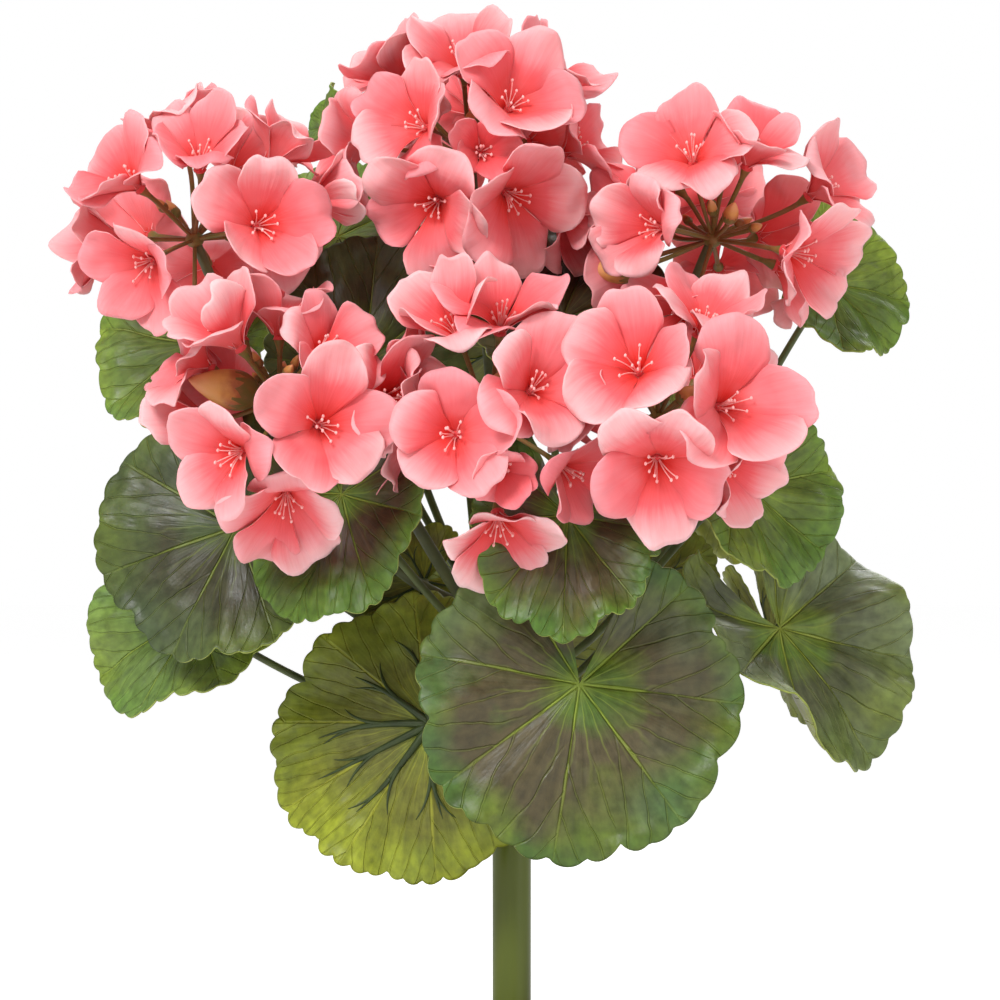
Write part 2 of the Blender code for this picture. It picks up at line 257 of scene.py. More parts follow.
@dataclass(frozen=True)
class LeafFinish:
    """Printed and moulded leaf: green margin, dark horseshoe zone, fine pale veins, a satin coat and patches
    of painted sheen.
    """

    name: str
    centre: str
    zone: str
    margin: str
    turned: str
    vein: str
    sheen: str
    sheen_share: float = 0.4
    zone_share: float = 1.0
    roughness: float = 0.42

    def build(self) -> bpy.types.Material:
        """Returns the material, which reads the blade's UV map: lobes across, joint to margin along."""
        material, tree = new_material(self.name)
        uv = add(tree, "UVMap", {}, uv_map="along")
        across = add(tree, "SeparateXYZ", {0: uv})
        along = add(tree, "SeparateXYZ", {0: uv}, 1)
        place = add(tree, "TexCoord", {}, 3)
        lobes = add(tree, "Math", {0: across, 1: float(LOBES)}, operation="MULTIPLY")
        wander = add(tree, "TexNoise", {"Vector": place, "Scale": 60.0, "Detail": 2.0})
        wander = add(tree, "Math", {0: wander, 1: 0.5}, operation="SUBTRACT")
        # distance from the lobe's main vein, where 1 is a whole lobe's width at the margin
        side = centred(tree, lobes, 1.0)
        off = add(tree, "Math", {0: side}, operation="ABSOLUTE")
        distance = add(tree, "Math", {0: off, 1: along}, operation="MULTIPLY")
        distance = add(tree, "Math", {0: wander, 1: 0.03, 2: distance}, operation="MULTIPLY_ADD")
        main_vein = add(tree, "MapRange", {"Value": distance, 1: 0.003, 2: 0.012, 3: 1.0, 4: 0.0})
        fade = add(tree, "MapRange", {"Value": along, 1: 0.3, 2: 0.9, 3: 1.0, 4: 0.2})
        main_vein = add(tree, "Math", {0: main_vein, 1: fade}, operation="MULTIPLY")
        # side veins leave the main vein at a sharp angle, alternately left and right
        slant = add(tree, "Math", {0: distance, 1: -1.7, 2: along}, operation="MULTIPLY_ADD")
        slant = add(tree, "Math", {0: wander, 1: 0.22, 2: slant}, operation="MULTIPLY_ADD")
        right = add(tree, "Math", {0: side, 1: 0.0}, operation="GREATER_THAN")
        slant = add(tree, "Math", {0: right, 1: 0.12, 2: slant}, operation="MULTIPLY_ADD")
        forks = add(tree, "Math", {0: centred(tree, slant, 4.0)}, operation="ABSOLUTE")
        side_vein = add(tree, "MapRange", {"Value": forks, 1: 0.015, 2: 0.06, 3: 1.0, 4: 0.0})
        begins = add(tree, "MapRange", {"Value": along, 1: 0.25, 2: 0.45, 3: 0.0, 4: 1.0})
        side_vein = add(tree, "Math", {0: side_vein, 1: begins}, operation="MULTIPLY")
        # fine rays fan out of the joint and fade halfway
        rays = add(tree, "Math", {0: wander, 1: 0.5, 2: lobes}, operation="MULTIPLY_ADD")
        rays = add(tree, "Math", {0: centred(tree, rays, 3.0)}, operation="ABSOLUTE")
        rays = add(tree, "MapRange", {"Value": rays, 1: 0.02, 2: 0.09, 3: 1.0, 4: 0.0})
        inner = add(tree, "MapRange", {"Value": along, 1: 0.12, 2: 0.5, 3: 1.0, 4: 0.0})
        rays = add(tree, "Math", {0: rays, 1: inner}, operation="MULTIPLY")
        # colour rings, pushed in and out by soft noise
        cloud = add(tree, "TexNoise", {"Vector": place, "Scale": 30.0, "Detail": 4.0})
        cloud_shift = add(tree, "Math", {0: cloud, 1: 0.5}, operation="SUBTRACT")
        ring = add(tree, "Math", {0: cloud_shift, 1: 1.1, 2: along}, operation="MULTIPLY_ADD")
        zone_in = add(tree, "MapRange", {"Value": ring, 1: 0.15, 2: 0.36, 3: 0.0, 4: 1.0})
        zone_out = add(tree, "MapRange", {"Value": ring, 1: 0.52, 2: 0.85, 3: 1.0, 4: 0.0})
        zone = add(tree, "Math", {0: zone_in, 1: zone_out}, operation="MULTIPLY")
        zone = add(tree, "Math", {0: zone, 1: self.zone_share}, operation="MULTIPLY")
        outer = add(tree, "MapRange", {"Value": ring, 1: 0.2, 2: 0.5, 3: 0.0, 4: 1.0})
        ground = add(
            tree,
            "Mix",
            {0: outer, 6: linear(self.centre), 7: linear(self.margin)},
            2,
            data_type="RGBA",
        )
        age = add(tree, "TexNoise", {"Vector": place, "Scale": 21.0, "Detail": 3.0})
        aged = add(tree, "MapRange", {"Value": age, 1: 0.44, 2: 0.6, 3: 0.0, 4: 0.85})
        ground = add(tree, "Mix", {0: aged, 6: ground, 7: linear(self.turned)}, 2, data_type="RGBA" )
        ground = add(tree, "Mix", {0: zone, 6: ground, 7: linear(self.zone)}, 2, data_type="RGBA")
        # painted sheen: blue-grey patches stand for the satin coat's reflection
        shifted = add(tree, "Mapping", {0: place, "Location": (0.37, 0.11, 0.23)})
        patches = add(tree, "TexNoise", {"Vector": shifted, "Scale": 19.0, "Detail": 3.0})
        patch = add(tree, "MapRange", {"Value": patches, 1: 0.46, 2: 0.66, 3: 0.0, 4: self.sheen_share})
        ground = add(tree, "Mix", {0: patch, 6: ground, 7: linear(self.sheen)}, 2, data_type="RGBA")
        # brush strokes that run outwards, and mottling about 2 mm across
        stroke_place = add(tree, "Mapping", {0: uv, "Scale": (70, 3.0, 1)})
        strokes = add(tree, "TexNoise", {"Vector": stroke_place, "Scale": 1.0, "Detail": 2.0})
        mottle = add(tree, "TexNoise", {"Vector": place, "Scale": 300.0, "Detail": 4.0})
        both = add(tree, "Math", {0: strokes, 1: mottle}, operation="ADD")
        shade = add(tree, "MapRange", {"Value": both, 1: 0.7, 2: 1.3, 3: 0.66, 4: 1.3})
        ground = add(tree, "Mix", {0: 1.0, 6: ground, 7: shade}, 2, data_type="RGBA", blend_type="MULTIPLY" )
        veins = add(tree, "Math", {0: side_vein, 1: 0.16}, operation="MULTIPLY")
        veins = add(tree, "Math", {0: rays, 1: 0.45, 2: veins}, operation="MULTIPLY_ADD")
        veins = add(tree, "Math", {0: main_vein, 1: 0.6, 2: veins}, operation="MULTIPLY_ADD")
        glow = add(tree, "MapRange", {"Value": along, 1: 0.02, 2: 0.10, 3: 0.55, 4: 0.0})
        veins = add(tree, "Math", {0: veins, 1: glow}, operation="MAXIMUM")
        ground = add(tree, "Mix", {0: veins, 6: ground, 7: linear(self.vein)}, 2, data_type="RGBA")
        relief = add(tree, "Math", {0: main_vein, 1: 1.6, 2: side_vein}, operation="MULTIPLY_ADD")
        bump = add(tree, "Bump", {"Height": relief, "Strength": 0.8, "Distance": 0.0007}, invert=True)
        bump = add(tree, "Bump", {"Height": strokes, "Strength": 0.5, "Distance": 0.0007, "Normal": bump} )
        grain = add(tree, "TexNoise", {"Vector": place, "Scale": 900.0, "Detail": 2.0})
        bump = add(tree, "Bump", {"Height": grain, "Strength": 0.25, "Distance": 0.0003, "Normal": bump} )
        rough = add(
            tree,
            "MapRange",
            {"Value": mottle, 1: 0.3, 2: 0.7, 3: self.roughness - 0.06, 4: self.roughness + 0.1},
        )
        finish_material(
            tree,
            {"Base Color": ground, "Roughness": rough, "Normal": bump, "Specular IOR Level": 0.38},
        )
        return material


@dataclass(frozen=True)
class SkinFinish:
    """Smooth coated plant skin, with soft clouds of two colours and a fine grain."""

    name: str
    low: str
    high: str
    grain_mm: float = 3.0
    roughness: float = 0.5
    stretch: float = 1.0
    relief: float = 0.15

    def build(self) -> bpy.types.Material:
        """Returns the material."""
        material, tree = new_material(self.name)
        place = add(tree, "TexCoord", {}, 3)
        placed = add(tree, "Mapping", {0: place, "Scale": (1.0, 1.0, 1.0 / self.stretch)})
        clouds = add(
            tree, "TexNoise", {"Vector": placed, "Scale": 1.0 / (self.grain_mm * MM), "Detail": 3.0}
        )
        base = add(tree, "ValToRGB", {0: clouds}, stops=((0.3, self.low), (0.7, self.high)))
        fine = add(tree, "TexNoise", {"Vector": placed, "Scale": 1500.0, "Detail": 2.0})
        bump = add(tree, "Bump", {"Height": fine, "Strength": self.relief, "Distance": 0.0003} )
        finish_material(
            tree,
            {"Base Color": base, "Roughness": self.roughness, "Normal": bump, "Specular IOR Level": 0.36},
        )
        return material


@dataclass(frozen=True)
class BudFinish:
    """Bud that turns from its brown-green base to a peach tip."""

    name: str
    stops: tuple

    def build(self) -> bpy.types.Material:
        """Returns the material, which runs along the bud's UV map."""
        material, tree = new_material(self.name)
        uv = add(tree, "UVMap", {}, uv_map="along")
        along = add(tree, "SeparateXYZ", {0: uv}, 1)
        place = add(tree, "TexCoord", {}, 3)
        clouds = add(tree, "TexNoise", {"Vector": place, "Scale": 220.0, "Detail": 3.0})
        shift = add(tree, "Math", {0: clouds, 1: 0.5}, operation="SUBTRACT")
        shifted = add(tree, "Math", {0: shift, 1: 0.5, 2: along}, operation="MULTIPLY_ADD")
        base = add(tree, "ValToRGB", {0: shifted}, stops=self.stops)
        bump = add(tree, "Bump", {"Height": clouds, "Strength": 0.3, "Distance": 0.0004})
        finish_material(tree, {"Base Color": base, "Roughness": 0.5, "Normal": bump})
        return material


@dataclass(frozen=True)
class TerracottaFinish:
    """Fired red clay, thrown and left unglazed: fine grit, throwing rings and a pale lime bloom."""

    name: str = "terracotta_unglazed"

    def build(self) -> bpy.types.Material:
        """Returns the material."""
        material, tree = new_material(self.name)
        place = add(tree, "TexCoord", {}, 3)
        height = add(tree, "SeparateXYZ", {0: place}, 2)
        clouds = add(tree, "TexNoise", {"Vector": place, "Scale": 30.0, "Detail": 5.0})
        clay = ((0.25, "#A9593A"), (0.5, "#BF6E4A"), (0.75, "#CF8760"))
        base = add(tree, "ValToRGB", {0: clouds}, stops=clay)
        bloom_noise = add(tree, "TexNoise", {"Vector": place, "Scale": 14.0, "Detail": 6.0})
        bloom = add(tree, "MapRange", {"Value": bloom_noise, 1: 0.55, 2: 0.75, 3: 0.0, 4: 0.45})
        base = add(tree, "Mix", {0: bloom, 6: base, 7: linear("#DDBBA3")}, 2, data_type="RGBA")
        # darker towards the bottom of the pot
        darker_towards_bottom = add(tree, "MapRange", {"Value": height, 1: 0.0, 2: 0.03, 3: 0.25, 4: 0.0})
        base = add(tree, "Mix", {0: darker_towards_bottom, 6: base, 7: linear("#8C4A30")}, 2, data_type="RGBA")
        # grit grains about 0.7 mm across, and throwing rings 2 mm apart
        grit = add(tree, "TexNoise", {"Vector": place, "Scale": 1400.0, "Detail": 2.0})
        specks = add(tree, "MapRange", {"Value": grit, 1: 0.62, 2: 0.7, 3: 0.0, 4: 0.4})
        base = add(tree, "Mix", {0: specks, 6: base, 7: linear("#7E3F29")}, 2, data_type="RGBA")
        warp = add(tree, "Math", {0: clouds, 1: 0.004, 2: height}, operation="MULTIPLY_ADD")
        rings = add(tree, "Math", {0: warp, 1: math.tau / (2.0 * MM)}, operation="MULTIPLY")
        rings = add(tree, "Math", {0: rings}, operation="SINE")
        bump = add(tree, "Bump", {"Height": rings, "Strength": 0.10, "Distance": 0.0003})
        bump = add(tree, "Bump", {"Height": grit, "Strength": 0.35, "Distance": 0.0004, "Normal": bump} )
        finish_material(
            tree,
            {"Base Color": base, "Roughness": 0.88, "Normal": bump, "Specular IOR Level": 0.3},
        )
        return material


@dataclass(frozen=True)
class SoilFinish:
    """Potting soil: dark peat crumbs with brown fibres, matt all over."""

    name: str
    dark: str
    light: str
    grain_mm: float

    def build(self) -> bpy.types.Material:
        """Returns the material."""
        material, tree = new_material(self.name)
        place = add(tree, "TexCoord", {}, 3)
        scale = 1.0 / (self.grain_mm * MM)
        grains = add(tree, "TexVoronoi", {"Vector": place, "Scale": scale})
        clouds = add(tree, "TexNoise", {"Vector": place, "Scale": scale * 0.6, "Detail": 6.0})
        base = add(tree, "ValToRGB", {0: clouds}, stops=((0.3, self.dark), (0.72, self.light)))
        bump = add(tree, "Bump", {"Height": grains, "Strength": 0.6, "Distance": 0.001})
        bump = add(tree, "Bump", {"Height": clouds, "Strength": 0.6, "Distance": 0.001, "Normal": bump} )
        finish_material(tree, {"Base Color": base, "Roughness": 0.95, "Normal": bump})
        return material


class Finish(Enum):
    """Every finish on the plant and its pot."""

    # the face's deep red towards the throat is partly the dye and partly painted shade, the red of the shade
    # between the petals
    PETAL = PetalFinish(
        "silk_petal_face",
        (
            (0.0, "#D6241A"),
            (0.12, "#E4332A"),
            (0.28, "#EA4A4A"),
            (0.5, "#EE6066"),
            (0.8, "#F1747B"),
            (0.97, "#F48A92"),
        ),
    )
    PETAL_BACK = PetalFinish(
        "silk_petal_back",
        ((0.0, "#DC3A30"), (0.2, "#E85050"), (0.5, "#EE696E"), (0.8, "#F1828A"), (0.97, "#F49CA2")),
    )
    # the petals' cut edge is painted paler: a painted highlight for the light rim of a petal seen edge-on
    PETAL_EDGE = SkinFinish("silk_cut_edge", "#F3979B", "#F8B9BA", 2.0, 0.7)
    STAMEN = SkinFinish("stamen_wax", "#F3A0A0", "#FBC9C4", 1.5, 0.5)
    LEAF_BRIGHT = LeafFinish(
        "leaf_bright_green",
        "#617D2C", "#4C5A21", "#577A21", "#788B28", "#95A73A", "#768B52", 0.4, 0.5
    )
    LEAF_DARK = LeafFinish(
        "leaf_dark_green", "#404E20", "#393820", "#3A471E", "#556421", "#7A8931", "#4B5A3E", 0.5
    )
    LEAF_ZONED = LeafFinish(
        "leaf_zoned_green", "#3A621E", "#4D452C", "#436023", "#636E20", "#889934", "#5B6E4D", 0.55
    )
    LEAF_BROWN = LeafFinish(
        "leaf_brown_zone", "#536E23", "#4A331E", "#486821", "#5C7823", "#889934", "#516744", 0.35
    )
    # painted sheen: a greyed palette with strong blue-grey patches paints the sheen on a glossy, folded leaf
    LEAF_PAINTED_SHEEN = LeafFinish(
        "leaf_painted_blue_sheen", "#597828", "#595E3D", "#617137", "#7F8B38", "#9BA537", "#7E8A67", 0.8
    )
    # painted shade: the whole palette is darkened towards maroon for the leaf that lies in shade under the
    # top flower head
    LEAF_MAROON_IN_SHADE = LeafFinish(
        "leaf_maroon_painted_shade", "#44391A", "#362415", "#3C391A", "#4A501D", "#63662C", "#45432C", 0.35
    )
    LEAF_BACK = LeafFinish(
        "leaf_olive_back",
        "#636020",
        "#59501A",
        "#717D23",
        "#8E9724",
        "#AFB035",
        "#6D7849",
        0.25,
        0.6,
        0.46,
    )
    LEAF_EDGE = SkinFinish("leaf_cut_edge", "#7F8A3C", "#9AA650", 3.0, 0.6)
    RIB = SkinFinish("moulded_rib", "#2E3A1E", "#404E28", 6.0, 0.42)
    LEAF_STALK = SkinFinish("leaf_stalk_skin", "#4A5230", "#5E6B38", 8.0, 0.48)
    FLOWER_STALK = SkinFinish("flower_stalk_skin", "#464A32", "#5A6038", 9.0, 0.5)
    PEDICEL = SkinFinish("flower_stem_skin", "#6E6A2E", "#8A5A34", 12.0, 0.5)
    CALYX = SkinFinish("calyx_skin", "#5F6B2C", "#93663A", 5.0, 0.5)
    STEM = SkinFinish("main_stem_skin", "#525E1C", "#636F22", 14.0, 0.34, 6.0, 0.1)
    BUD = BudFinish(
        "bud_peach",
        ((0.0, "#5E6B2C"), (0.22, "#8A4A2A"), (0.42, "#B8703E"), (0.6, "#D8A055"), (1.0, "#E6A878")),
    )
    TERRACOTTA = TerracottaFinish()
    SOIL = SoilFinish("potting_soil", "#1B120D", "#4A3426", 2.2)
    CRUMB = SoilFinish("soil_crumb", "#20150F", "#5A4231", 1.4)
    PERLITE = SoilFinish("perlite_grain", "#C9C4B8", "#F2EFE8", 1.0)


_BUILT: dict[Finish, bpy.types.Material] = {}


def dressed(finish: Finish) -> bpy.types.Material:
    """Returns a finish's material, which is built once."""
    if finish not in _BUILT:
        _BUILT[finish] = finish.value.build()
    return _BUILT[finish]


# ---------------------------------------------------------------- mesh building


class Shape:
    """A mesh under construction: sheets, tubes and blobs, each with a finish and a tone.

    Args:
        finishes: The finishes that its faces may have, in slot order.
    """

    def __init__(self, finishes: Sequence[Finish]) -> None:
        """Starts an empty mesh."""
        self.finishes = list(finishes)
        self.bm = bmesh.new()
        self._layers()

    def _layers(self) -> None:
        """Finds or makes the UV map and the tone attribute."""
        self.uv = self.bm.loops.layers.uv.get("along") or self.bm.loops.layers.uv.new("along")
        colours = self.bm.verts.layers.float_color
        self.tone = colours.get("tone") or colours.new("tone")

    def sheet(
        self,
        columns: int,
        rows: int,
        place: Callable[[float, float], Vector],
        finish: Finish,
        tone: Triple = (0.0, 0.0, 0.0),
        merge: float = 0.0,
    ) -> None:
        """Adds a grid whose points are placed by a function.

        Args:
            columns: Faces across.
            rows: Faces along.
            place: Gives the place, in mm, of a point across (0 to 1) and along (0 to 1).
            finish: The faces' finish.
            tone: Value of the tone attribute.
            merge: Distance in mm within which points are merged, or 0.
        """
        made = bmesh.ops.create_grid(self.bm, x_segments=columns, y_segments=rows, size=0.5)
        verts = made["verts"]
        slot = self.finishes.index(finish)
        for face in {face for vert in verts for face in vert.link_faces}:
            face.material_index = slot
            face.smooth = True
            for loop in face.loops:
                loop[self.uv].uv = (loop.vert.co.x + 0.5, loop.vert.co.y + 0.5)
        for vert in verts:
            vert[self.tone] = (*tone, 1.0)
            vert.co = place(vert.co.x + 0.5, vert.co.y + 0.5) * MM
        if merge:
            bmesh.ops.remove_doubles(self.bm, verts=verts, dist=merge * MM)

    def tube(
        self,
        points: Sequence[Vector],
        radius: Callable[[float], float],
        sides: int,
        finish: Finish,
        tone: Triple = (0.0, 0.0, 0.0),
    ) -> None:
        """Adds a closed round tube along points.

        Args:
            points: The points that it follows, in mm.
            radius: Gives the radius in mm at a share of the length.
            sides: Faces round it.
            finish: Its finish.
            tone: Value of the tone attribute.
        """
        frames = []
        normal = None
        for number, point in enumerate(points):
            ahead = points[min(number + 1, len(points) - 1)]
            behind = points[max(number - 1, 0)]
            tangent = (ahead - behind).normalized()
            if normal is None:
                guide = Vector((0, 0, 1)) if abs(tangent.z) < 0.9 else Vector((1, 0, 0))
                normal = guide.cross(tangent).normalized()
            normal = (normal - normal.dot(tangent) * tangent).normalized()
            frames.append((point, normal, tangent.cross(normal)))
        last = len(points) - 1
        rings = [(0, 0.0), *((n, radius(n / last)) for n in range(last + 1)), (last, 0.0)]

        def place(across: float, along: float) -> Vector:
            """Returns the place of a point on the tube."""
            number, reach = rings[round(along * (len(rings) - 1))]
            centre, right, up = frames[number]
            turn = across * math.tau
            return centre + (right * math.cos(turn) + up * math.sin(turn)) * reach

        self.sheet(sides, len(rings) - 1, place, finish, tone, merge=0.004)

    def turned(self, profile: Sequence[Pair], steps: int, finish: Finish) -> None:
        """Adds a solid turned about the Z axis.

        Args:
            profile: Pairs of a radius and a height in mm, from the axis and back to it.
            steps: Faces round it.
            finish: Its finish.
        """
        before = set(self.bm.verts)
        points = [self.bm.verts.new((reach * MM, 0, height * MM)) for reach, height in profile]
        edges = [self.bm.edges.new(pair) for pair in zip(points, points[1:])]
        bmesh.ops.spin(
            self.bm,
            geom=points + edges,
            axis=(0, 0, 1),
            cent=(0, 0, 0),
            steps=steps,
            angle=math.tau,
            use_merge=True,
        )
        verts = [vert for vert in self.bm.verts if vert not in before]
        bmesh.ops.remove_doubles(self.bm, verts=verts, dist=0.005 * MM)
        slot = self.finishes.index(finish)
        faces = [face for face in self.bm.faces if face.is_valid]
        bmesh.ops.recalc_face_normals(self.bm, faces=faces)
        for face in faces:
            face.material_index = slot
            face.smooth = True

    def blob(self, matrix: Matrix, finish: Finish, divisions: int = 2, rough: float = 0.0) -> None:
        """Adds a ball, stretched by a matrix in mm.

        Args:
            matrix: Places and stretches a ball of radius 1.
            finish: Its finish.
            divisions: Fineness of the ball.
            rough: How far its points move in or out, as a share of its radius.
        """
        made = bmesh.ops.create_icosphere(self.bm, subdivisions=divisions, radius=1.0)
        slot = self.finishes.index(finish)
        for face in {face for vert in made["verts"] for face in vert.link_faces}:
            face.material_index = slot
            face.smooth = rough == 0.0
            for loop in face.loops:
                loop[self.uv].uv = (0.5, loop.vert.co.z / 2 + 0.5)
        seed = matrix.translation
        for vert in made["verts"]:
            push = 1.0 + rough * noise.noise(vert.co * 1.7 + seed)
            vert.co = (matrix @ (vert.co * push)) * MM

    def thicken(self, thickness: float, back: Finish, edge: Finish) -> None:
        """Gives all faces so far a wall.

        Args:
            thickness: The wall's thickness in mm.
            back: The finish of the new back faces.
            edge: The finish of the cut edge.
        """
        mesh = bpy.data.meshes.new("wall")
        self.bm.to_mesh(mesh)
        for finish in self.finishes:
            mesh.materials.append(dressed(finish))
        thing = bpy.data.objects.new("wall", mesh)
        bpy.context.scene.collection.objects.link(thing)
        wall = thing.modifiers.new("wall", "SOLIDIFY")
        wall.thickness = thickness * MM
        wall.offset = -1.0
        wall.material_offset = self.finishes.index(back)
        wall.material_offset_rim = self.finishes.index(edge)
        graph = bpy.context.evaluated_depsgraph_get()
        solid = bpy.data.meshes.new_from_object(thing.evaluated_get(graph))
        self.bm.clear()
        self.bm.from_mesh(solid)
        self._layers()
        bpy.data.objects.remove(thing)
        bpy.data.meshes.remove(mesh)
        bpy.data.meshes.remove(solid)

    def piece(self, name: str, replaced: Sequence[str] = ()) -> bpy.types.Object:
        """Makes the finished piece.

        Args:
            name: The piece's name.
            replaced: CAD nodes that it stands for.

        Returns:
            The piece's object.
        """
        mesh = bpy.data.meshes.new(name)
        self.bm.to_mesh(mesh)
        self.bm.free()
        for finish in self.finishes:
            mesh.materials.append(dressed(finish))
        thing = bpy.data.objects.new(name, mesh)
        bpy.context.scene.collection.objects.link(thing)
        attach(thing, ROOT)
        if replaced:
            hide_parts(*replaced)
        LOG.info("%s: %d faces", name, len(mesh.polygons))
        return thing


# ---------------------------------------------------------------- main stem

STEM_RADIUS = 6.6
STALK_SINK = 1.2


def stalk_route(root: Pair, end: Vector, arrival: Vector, steps: int) -> list[Vector]:
    """Returns the points of a stalk that leaves the main stem level.

    Args:
        root: Height in mm and azimuth at which it leaves the stem.
        end: Where it ends, in mm.
        arrival: Its direction at its end.
        steps: Number of stretches.

    Returns:
        The points in mm.
    """
    outward = direction(root[1], 0)
    start = outward * (STEM_RADIUS - STALK_SINK) + Vector((0, 0, root[0]))
    length = (end - start).length
    first = start + outward * length * 0.28
    last = end - arrival * length * 0.32
    return interpolate_bezier(start, first, last, end, steps + 1)


@dataclass
class MainStem:
    """Smooth straight stem with a rounded, slightly swollen top where the stalks leave."""

    foot: float = 62.0
    swelling: float = 0.7

    def build(self) -> None:
        """Builds the stem at the frame's own place and height."""
        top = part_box("main_stem")[1].z / MM
        shape = Shape([Finish.STEM])
        steps = 60
        points = [Vector((0, 0, self.foot + (top - self.foot) * n / steps)) for n in range(steps + 1)]

        def radius(share: float) -> float:
            """Returns the stem's radius, which swells a little under its round top."""
            swell = self.swelling * smooth(0.72, 0.86, share)
            close = math.sqrt(max(1 - smooth(0.965, 1.0, share) ** 2, 0.02))
            return (STEM_RADIUS - 0.05 + swell) * close

        shape.tube(points, radius, 40, Finish.STEM)
        shape.piece("main_stem_skin", ["main_stem"])


# ---------------------------------------------------------------- leaves

LOBES = 7
TEETH = 4
SHOULDER = 0.3


def curled(place: float, radius: float, angle: float) -> Pair:
    """Returns where a point goes when a flat strip is curled up.

    Args:
        place: The point's distance from the strip's fixed line.
        radius: The strip's length.
        angle: How far the strip's end turns, in degrees, with up above 0.

    Returns:
        The point's new distance and its rise.
    """
    if abs(angle) < 0.5:
        return place, 0.0
    whole = math.radians(angle)
    bend = whole * abs(place) / radius
    rise = (1 - math.cos(bend)) / whole * radius
    return math.copysign(math.sin(bend) / whole * radius, place), rise


@dataclass
class Leaf:
    """One leaf: a lobed, toothed and quilted blade, its moulded ribs and its stalk.

    Attributes:
        node: The CAD node that it stands for.
        joint: Where the stalk meets the blade, in mm.
        facing: Azimuth and elevation of the blade's upper side.
        tip: Clock direction of the tip.
        size: Reach from joint to tip in mm, and the share of it that the sides keep.
        notch: Half of the open angle behind the joint.
        root: Height in mm and azimuth at which the stalk leaves the stem.
        finish: Finish of the upper side.
        cup: Rise of the whole rim, as a share of the size.
        curl: How far the left side, the right side, the tip and the base curl up, in degrees.
        pleat: Height in mm of the folds between the main veins.
        wave: Height of the margin's waves in mm.
        rib: Thickness of the ribs under the blade, in mm.
    """

    node: str
    joint: Triple
    facing: Pair
    tip: float
    size: Pair
    notch: float
    root: Pair
    finish: Finish
    cup: float = 0.06
    curl: tuple[float, float, float, float] = (10.0, 10.0, -25.0, 10.0)
    pleat: float = 2.2
    wave: float = 2.2
    rib: float = 0.55
    thickness: float = 0.55
    stalk_radius: float = 1.5
    columns: int = 252
    rows: int = 24

    def __post_init__(self) -> None:
        """Works out the blade's frame and its own random phase."""
        self.frame = posed(Vector(self.joint), direction(*self.facing), self.tip)
        self.dice = random.Random(self.node)
        self.phase = self.dice.uniform(0, math.tau)
        self.seed = Vector([self.dice.uniform(-50, 50) for _ in range(3)])

    def blade(self, across: float, along: float) -> Vector:
        """Returns the place in mm of a point on the blade, across its lobes and along to its margin."""
        length, width = self.size
        sweep = math.pi - math.radians(self.notch)
        angle = (across - 0.5) * 2 * sweep
        lobe = across * LOBES
        uneven = noise.noise(Vector((lobe * 0.9, 0, 0)) + self.seed)
        turn = 2 * ((lobe + 0.10 * uneven) % 1) - 1 if 0 < across < 1 else 1.0
        tooth = 2 * ((lobe * TEETH + 1.4 * uneven) % 1) - 1
        ragged = 1 + 0.9 * noise.noise(Vector((lobe * 2.3, 5, 0)) + self.seed)
        shoulder = 1 - SHOULDER * (angle / math.pi) ** 2 + 0.07 * uneven
        scallop = 1 - 0.06 * ragged * abs(turn) ** 3 * along**3
        crenel = 1 - 0.034 * ragged * abs(tooth) ** 2.2 * smooth(0.8, 1.0, along)
        reach = length * along * shoulder * scallop * crenel
        x, y = math.sin(angle) * reach * width, math.cos(angle) * reach
        spot = Vector((x, y, 0)) * 0.045 + self.seed
        rise = self.cup * length * along**2
        # the blade puffs up between its main veins and dips along them
        vein = 2 * (lobe % 1) - 1 if 0 < across < 1 else 1.0
        puff = (1 - math.cos(math.pi * vein)) / 2
        strength = 1 + 0.8 * noise.noise(Vector((math.floor(lobe + 0.5) * 1.7, 9, 0)) + self.seed)
        rise += self.pleat * strength * puff * smooth(0.0, 0.8, along)
        side_vein = math.sin((along * 5.5 - 1.2 * abs(vein)) * math.tau + uneven)
        rise += 0.22 * side_vein * smooth(0.3, 0.6, along) * puff
        rise -= 0.45 * math.exp(-((vein * along / 0.06) ** 2)) * smooth(0.0, 0.15, along)
        rise += self.wave * math.sin(angle * 3.5 + self.phase) * along**2.5
        rise += 3.2 * noise.noise(spot) * smooth(0.1, 0.9, along)
        rise += 1.3 * noise.noise(spot * 3.0) * smooth(0.2, 1.0, along)
        left, right, ahead, behind = self.curl
        x, lift = curled(x, length, left if x < 0 else right)
        y, raise_ = curled(y, length, behind if y < 0 else ahead)
        return self.frame @ Vector((x, y, rise + lift + raise_))

    def build(self) -> None:
        """Builds the blade, its ribs and its stalk as one piece."""
        shape = Shape([self.finish, Finish.LEAF_BACK, Finish.LEAF_EDGE, Finish.RIB, Finish.LEAF_STALK] )

        def spread(across: float, along: float) -> Vector:
            """Returns a blade point, with rows set closer towards the margin."""
            return self.blade(across, 1 - (1 - along) ** 1.25)

        shape.sheet(self.columns, self.rows, spread, self.finish, merge=0.02)
        shape.thicken(self.thickness, Finish.LEAF_BACK, Finish.LEAF_EDGE)
        normal = direction(*self.facing)
        for number in range(LOBES):
            middle = (number + 0.5) / LOBES
            reach = 0.72 - 0.05 * abs(number - LOBES // 2)
            sway = self.dice.uniform(-0.25, 0.25) / LOBES
            self.add_rib(shape, (middle, middle + sway), (0.0, reach), self.rib)
            for fork in (-0.3, 0.3):
                start = self.dice.uniform(0.26, 0.4)
                near = middle + sway * (start / reach) ** 2
                self.add_rib(shape, (near, near + fork / LOBES), (start, start + 0.3), self.rib * 0.5 )
        end = Vector(self.joint) - normal * 0.2
        route = stalk_route(self.root, end, normal, 30)

        def radius(share: float) -> float:
            """Returns the stalk's radius, which flares at its foot and under the blade."""
            foot = 0.7 * (1 - smooth(0.0, 0.06, share))
            collar = 0.5 * smooth(0.93, 1.0, share)
            return self.stalk_radius * (1 - 0.2 * share) + foot + collar

        shape.tube(route, radius, 12, Finish.LEAF_STALK)
        shape.piece(f"{self.node}_look", [self.node])

